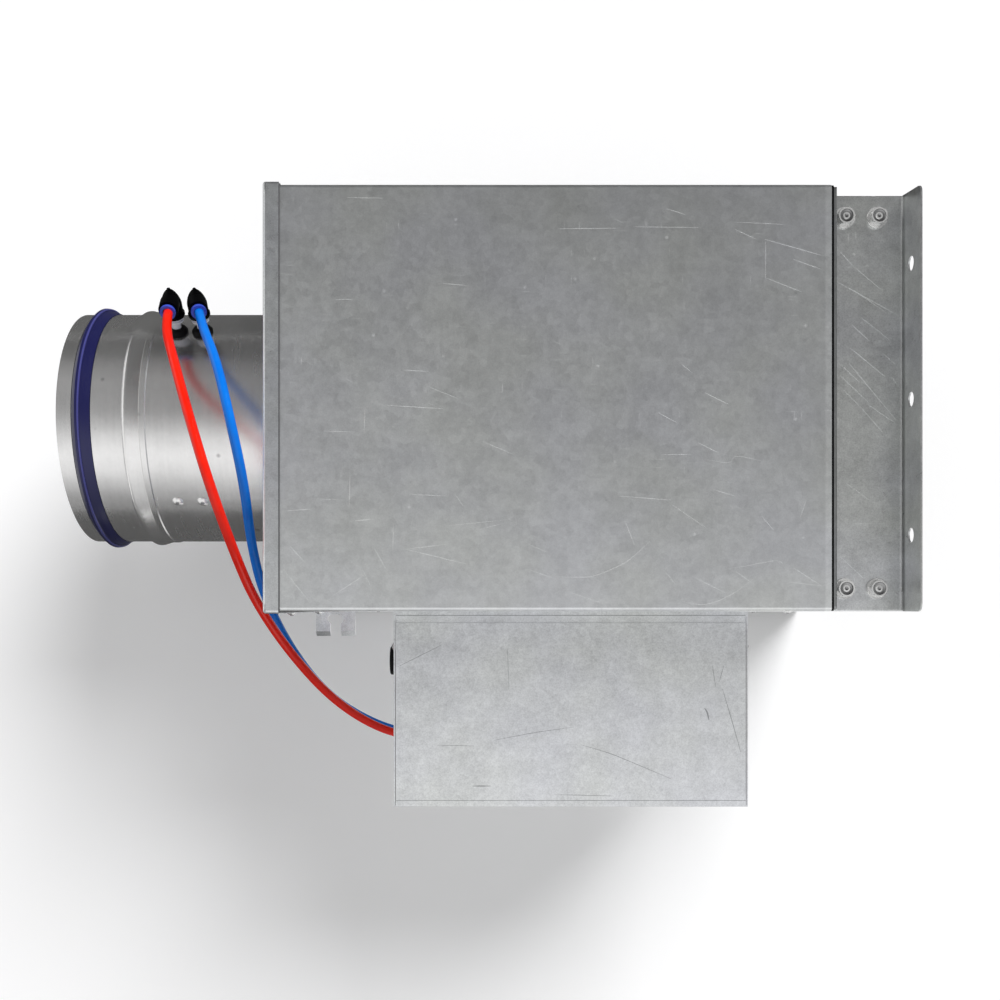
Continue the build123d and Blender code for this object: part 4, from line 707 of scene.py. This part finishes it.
def rivet_tops():
    """Every blind rivet's top: a place on the sheet's rivet head and its outward direction."""
    found = []
    for side in (1, -1):
        found += [((187.0 + 239.0 / 3 * i, side * 128.0, -122.0), (0, side, 0)) for i in range(4)]
        found += [((x, side * 130.0, -113.4), (0, side, 0))
                  for x in (156.5, 165.5, 460.0, 469.0)]
        found += [((476.0, side * 128.0, z), (0, side, 0)) for z in (50.0, -50.0)]
        found += [((147.89, side * 129.3, z), (0, side, 0)) for z in (60.0, -60.0)]
        found += [((x, -151.0, side * 67.7), (out, 0, 0)) for x, out in ((216.0, -1), (444.0, 1))]
    return found


def make_rivet_pins():
    """Broken-off pins in the middles of the blind rivets' heads, darkened as painted shade for the
    rivets' holes.
    """
    pin = [(0, -0.6, 0), (1.25, -0.6, 0), (1.25, 0.12, 0), (1.05, 0.30, 0), (0.75, 0.34, 0),
           (0.5, 0.10, 0), (0, 0.05, 0)]
    head_height = 1.5
    sensor_head_radius = 80.9
    shape = bmesh.new()
    for place, normal in rivet_tops():
        top = standing(*place, normal) @ Matrix.Translation((0, 0, head_height))
        add_turned(shape, pin, top, 20)
    for x in (72.0, 88.5):
        for turn in (135, 225, 315):
            normal = Vector((0, cos(radians(turn)), sin(radians(turn))))
            y, z = normal.yz * sensor_head_radius
            add_turned(shape, pin, standing(x, y, z, normal), 20)
    add_piece("rivet_pins", shape, [RECESS_SHADE_FINISH], "casing", 35.0)


def add_band(shape, path, inward, x_low, x_high):
    """Rectangular bead along a path in the YZ plane, of a given depth to the inside."""
    rows = []
    for i, (y, z) in enumerate(path):
        before, after = Vector(path[max(i - 1, 0)]), Vector(path[min(i + 1, len(path) - 1)])
        along = (after - before).normalized()
        inner = Vector((y, z)) + Vector((-along.y, along.x)) * inward
        rows.append([shape.verts.new((x, *yz)) for x, yz in
                     ((x_low, (y, z)), (x_high, (y, z)), (x_high, inner), (x_low, inner))])
    for low, high in zip(rows, rows[1:]):
        for i in range(4):
            j = (i + 1) % 4
            shape.faces.new((low[i], low[j], high[j], high[i]))
    shape.faces.new(rows[0])
    shape.faces.new(rows[-1])


def arch(half, top, foot, corner, up=1):
    """Path up one side, over the top with round corners and down the other side."""
    path = [(-half, up * foot)]
    for side in (-1, 1):
        turns = range(0, 91, 15) if side < 0 else range(90, -1, -15)
        for turn in turns:
            across = half - corner + corner * cos(radians(turn))
            height = top - corner + corner * sin(radians(turn))
            path.append((side * across, up * height))
    return path + [(half, up * foot)]


def make_gap_shade_bands():
    """Painted shade as geometry: a black rubber band in the open gap before the end strips, and a
    dark grey bead beside the panel's rim.
    """
    shape = bmesh.new()
    for up in (1, -1):
        add_band(shape, arch(127.7, 126.7, 107.6, 2.2, up), -1.6 * up, 482.55, 483.95)
    add_piece("outlet_gap_shade_band", shape, [SLOT_FINISH["black_rubber"]], "casing")
    shape = bmesh.new()
    add_band(shape, arch(128.75, 127.75, -98.0, 2.6), -0.7, 151.45, 152.15)
    add_piece("rim_shade_bead", shape, [RIM_SHADE_FINISH], "casing")


def make_seal_ridge():
    """Rounded ridge behind the tip of the duct's lip seal, with the crease that it makes; its
    lilac colour, lighter than the seal's, is a painted highlight.
    """
    middle_x, middle_radius, thickness = 14.9, 82.35, 0.75
    turns = [2 * pi * i / 12 for i in range(12)]
    section = [(middle_radius + thickness * sin(turn), middle_x + thickness * cos(turn), 0)
               for turn in turns]
    shape = bmesh.new()
    add_turned(shape, section, standing(0, 0, 0, (1, 0, 0)), 120, closed=True)
    add_piece("seal_lip_ridge", shape, [RIDGE_HIGHLIGHT_FINISH], "casing", 60.0)


def make_shade_lines():
    """Painted shade lines in the control box's step and along its cover's fold."""
    for name, body, y, width in (("box_step_shade_line", "casing", -130.75, 0.5),
                                 ("cover_fold_shade_line", "box_cover", -249.9, 0.35)):
        shape = bmesh.new()
        add_burr(shape, [(217.5, y), (442.5, y)], width, BOX_TOP, SHADE_LINE_RISE, False)
        add_piece(name, shape, [SCUFF_AND_SHADE_FINISH], body, 20.0)


BURR_FINISH = galvanised("bright_burr", (0.74, 0.745, 0.74), 0.45, metallic=0.66)
# Dull dark sheet for real scuffs and for the painted shade lines
SCUFF_AND_SHADE_FINISH = galvanised("dull_scuff_and_shade", (0.36, 0.365, 0.37), 0.5, metallic=0.85)
# Dark grey for the painted shade beside the panel's rim
RIM_SHADE_FINISH = moulded("rim_shade_grey", (0.14, 0.14, 0.145), 0.6, 0.15, specular=0.3)
# Painted highlight along the seal's ridge
RIDGE_HIGHLIGHT_FINISH = moulded("lilac_ridge_highlight", (0.055, 0.058, 0.23), 0.34, 0.14, specular=0.45)
# Painted shade in the bolts' and rivets' recesses
RECESS_SHADE_FINISH = turned_metal("painted_recess_shade", (0.34, 0.34, 0.34), 0.35)

add_scratches("casing_scratches", CASING_SCRATCHES, CASING_TOP, BURR_FINISH)
add_scratches("neck_scratches", NECK_SCRATCHES, NECK_TOP, BURR_FINISH)
add_scratches("box_scratches", BOX_SCRATCHES, BOX_TOP, BURR_FINISH, "box_cover")
add_scratches("box_scuffs", BOX_SCUFFS, BOX_TOP, SCUFF_AND_SHADE_FINISH, "box_cover")
make_shade_lines()
make_neck_bolts()
make_rivet_pins()
make_gap_shade_bands()
make_seal_ridge()


# Studio: white floor, one soft lamp, pale surroundings

FLOOR_LEVEL = cad_box[0].z - 0.0002
FLOOR_AREA = ((-6, 6), (-6, 6))
FLOOR_GLOW = 0.12
CARD_LIFT = 0.0001
TENT_RADIUS = 3.0
WORLD_LIGHT = 0.46
WORLD_SEEN = 1.0


def as_object(name, shape):
    mesh = bpy.data.meshes.new(name)
    shape.to_mesh(mesh)
    shape.free()
    made = bpy.data.objects.new(name, mesh)
    scene.collection.objects.link(made)
    return made


def flat_object(name, areas, level):
    """Rectangles at one level, each from its span in X and its span in Y."""
    shape = bmesh.new()
    for (near, far), (low, high) in areas:
        corners = ((near, low), (far, low), (far, high), (near, high))
        shape.faces.new([shape.verts.new((x, y, level)) for x, y in corners])
    return as_object(name, shape)


def seen_share(tree):
    """1 for the camera's rays and for those that metal and glass send on, and 0 for the rest."""
    path = tree.nodes.new("ShaderNodeLightPath")
    seen = path.outputs["Is Camera Ray"]
    for name in ("Is Glossy Ray", "Is Transmission Ray"):
        larger = tree.nodes.new("ShaderNodeMath")
        larger.operation = "MAXIMUM"
        tree.links.new(seen, larger.inputs[0])
        tree.links.new(path.outputs[name], larger.inputs[1])
        seen = larger.outputs[0]
    return seen


def make_floor():
    floor = flat_object("floor", [FLOOR_AREA], FLOOR_LEVEL)
    finish = Finish("floor_paper", (0.92, 0.92, 0.925), 0.9)
    finish.set("Specular IOR Level", 0.1)
    seen = seen_share(finish.material.node_tree)
    glow = finish.nodes.new("ShaderNodeEmission")
    glow.inputs["Color"].default_value = (1, 1, 1, 1)
    finish.links.new(finish.math("MULTIPLY", seen, FLOOR_GLOW), glow.inputs["Strength"])
    both = finish.nodes.new("ShaderNodeAddShader")
    finish.links.new(finish.shader.outputs[0], both.inputs[0])
    finish.links.new(glow.outputs[0], both.inputs[1])
    finish.links.new(both.outputs[0], finish.nodes["Material Output"].inputs["Surface"])
    floor.data.materials.append(finish.material)


# Tent's brightness by the angle from straight up, positive towards -Y, over the two parts
SKY_REACH = 120
CASING_SKY = [
    (-120, 0.22), (-95, 0.10), (-60, 0.10), (-40, 0.14), (-26, 0.20), (-19, 0.26), (-13, 0.22),
    (-8, 0.25), (-4, 0.34), (0, 0.48), (4, 0.44), (9, 0.84), (18, 1.10), (40, 1.15), (65, 0.80),
    (90, 0.35),
]
SPIGOT_SKY = [
    (-120, 0.10), (-105, 0.07), (-88, 0.06), (-70, 0.10), (-55, 0.24), (-40, 0.33), (-22, 0.32),
    (-8, 0.36), (4, 0.55), (16, 0.85), (32, 1.15), (48, 1.00), (62, 0.66), (78, 0.34), (100, 0.20),
]
INLET_END_SKY = 1.05
OUTLET_END_SKY = 0.34


def only_mirrored(piece, material):
    """A backdrop that only polished surfaces show."""
    piece.data.materials.append(material)
    piece.visible_camera = False
    piece.visible_diffuse = False
    piece.visible_transmission = False
    piece.visible_volume_scatter = False
    piece.visible_shadow = False


def glowing(name):
    """A material that only glows, and the node of its glow."""
    material = bpy.data.materials.new(name)
    material.use_nodes = True
    tree = material.node_tree
    tree.nodes.clear()
    glow = tree.nodes.new("ShaderNodeEmission")
    out = tree.nodes.new("ShaderNodeOutputMaterial")
    tree.links.new(glow.outputs[0], out.inputs["Surface"])
    material.cycles.emission_sampling = "NONE"
    return material, glow


def make_tent():
    """Paper tent round the box, seen only in reflections: bright at -Y, dark at +Y."""
    shape = bmesh.new()
    bmesh.ops.create_uvsphere(shape, u_segments=48, v_segments=24, radius=TENT_RADIUS)
    tent = as_object("light_tent", shape)
    material, glow = glowing("tent_paper")
    tree = material.node_tree
    place = tree.nodes.new("ShaderNodeTexCoord").outputs["Object"]
    split = tree.nodes.new("ShaderNodeSeparateXYZ")
    tree.links.new(place, split.inputs[0])
    flipped = tree.nodes.new("ShaderNodeMath")
    flipped.operation = "MULTIPLY"
    flipped.inputs[1].default_value = -1.0
    tree.links.new(split.outputs["Y"], flipped.inputs[0])
    turned = tree.nodes.new("ShaderNodeMath")
    turned.operation = "ARCTAN2"
    tree.links.new(flipped.outputs[0], turned.inputs[0])
    tree.links.new(split.outputs["Z"], turned.inputs[1])
    spread = tree.nodes.new("ShaderNodeMapRange")
    spread.inputs["From Min"].default_value = radians(-SKY_REACH)
    spread.inputs["From Max"].default_value = radians(SKY_REACH)
    tree.links.new(turned.outputs[0], spread.inputs["Value"])
    flat = tree.nodes.new("ShaderNodeVectorMath")
    flat.operation = "NORMALIZE"
    tree.links.new(place, flat.inputs[0])
    lean = tree.nodes.new("ShaderNodeSeparateXYZ")
    tree.links.new(flat.outputs[0], lean.inputs[0])

    def ramp_of(stops):
        ramp = tree.nodes.new("ShaderNodeValToRGB")
        ramp.color_ramp.interpolation = "EASE"
        elements = ramp.color_ramp.elements
        while len(elements) < len(stops):
            elements.new(0.5)
        for element, (angle, level) in zip(elements, stops):
            element.position = (angle + SKY_REACH) / (2 * SKY_REACH)
            element.color = (level, level, level * 1.01, 1)
        tree.links.new(spread.outputs[0], ramp.inputs[0])
        return ramp.outputs[0]

    def mixed(low, high, first, second):
        """First where the direction's X is at low, second where it is at high."""
        share = tree.nodes.new("ShaderNodeMapRange")
        share.interpolation_type = "SMOOTHSTEP"
        share.inputs["From Min"].default_value = low
        share.inputs["From Max"].default_value = high
        tree.links.new(lean.outputs["X"], share.inputs["Value"])
        mix = tree.nodes.new("ShaderNodeMix")
        mix.data_type = "RGBA"
        tree.links.new(share.outputs[0], mix.inputs[0])
        tree.links.new(first, mix.inputs[6])
        if isinstance(second, float):
            mix.inputs[7].default_value = (second, second, second, 1)
        else:
            tree.links.new(second, mix.inputs[7])
        return mix.outputs[2]

    level = mixed(-0.13, -0.19, ramp_of(CASING_SKY), ramp_of(SPIGOT_SKY))
    level = mixed(-0.44, -0.64, level, INLET_END_SKY)
    level = mixed(0.45, 0.75, level, OUTLET_END_SKY)
    tree.links.new(level, glow.inputs["Color"])
    only_mirrored(tent, material)


# Cards on the floor that the folds and the duct's edges mirror: dark ones at +Y and beside the
# duct, and a white one at -Y beside the casing
CARDS = {
    "dark_cards": (0.09, [((-0.9, 1.2), (0.152, 2.4)), ((-0.9, 0.14), (0.084, 0.152)),
                          ((-0.9, 0.14), (-2.4, -0.084))]),
    "white_card": (1.05, [((0.145, 1.2), (-2.4, -0.135))]),
}


def make_cards():
    for name, (tone, areas) in CARDS.items():
        material, glow = glowing(name)
        glow.inputs["Color"].default_value = (tone, tone, tone, 1)
        only_mirrored(flat_object(name, areas, FLOOR_LEVEL + CARD_LIFT), material)


def make_world():
    world = bpy.data.worlds.new("surroundings")
    scene.world = world
    world.use_nodes = True
    world.cycles.sampling_method = "NONE"
    tree = world.node_tree
    back = tree.nodes["Background"]
    back.inputs["Color"].default_value = (1, 1, 1, 1)
    level = tree.nodes.new("ShaderNodeMapRange")
    level.inputs["To Min"].default_value = WORLD_LIGHT
    level.inputs["To Max"].default_value = WORLD_SEEN
    tree.links.new(seen_share(tree), level.inputs["Value"])
    tree.links.new(level.outputs[0], back.inputs["Strength"])


def make_sun():
    lamp = bpy.data.lights.new("soft_lamp", "SUN")
    lamp.energy = 2.9
    lamp.angle = radians(34)
    sun = bpy.data.objects.new("soft_lamp", lamp)
    azimuth, elevation = radians(58), radians(37)
    flat = cos(elevation)
    towards = Vector((flat * cos(azimuth), flat * sin(azimuth), sin(elevation)))
    sun.rotation_mode = "QUATERNION"
    sun.rotation_quaternion = towards.to_track_quat("Z", "Y")
    sun.location = towards * TENT_RADIUS
    scene.collection.objects.link(sun)
    # Polished sheet mirrors the tent alone, not the lamp
    sun.visible_glossy = False


make_floor()
make_tent()
make_cards()
make_world()
make_sun()
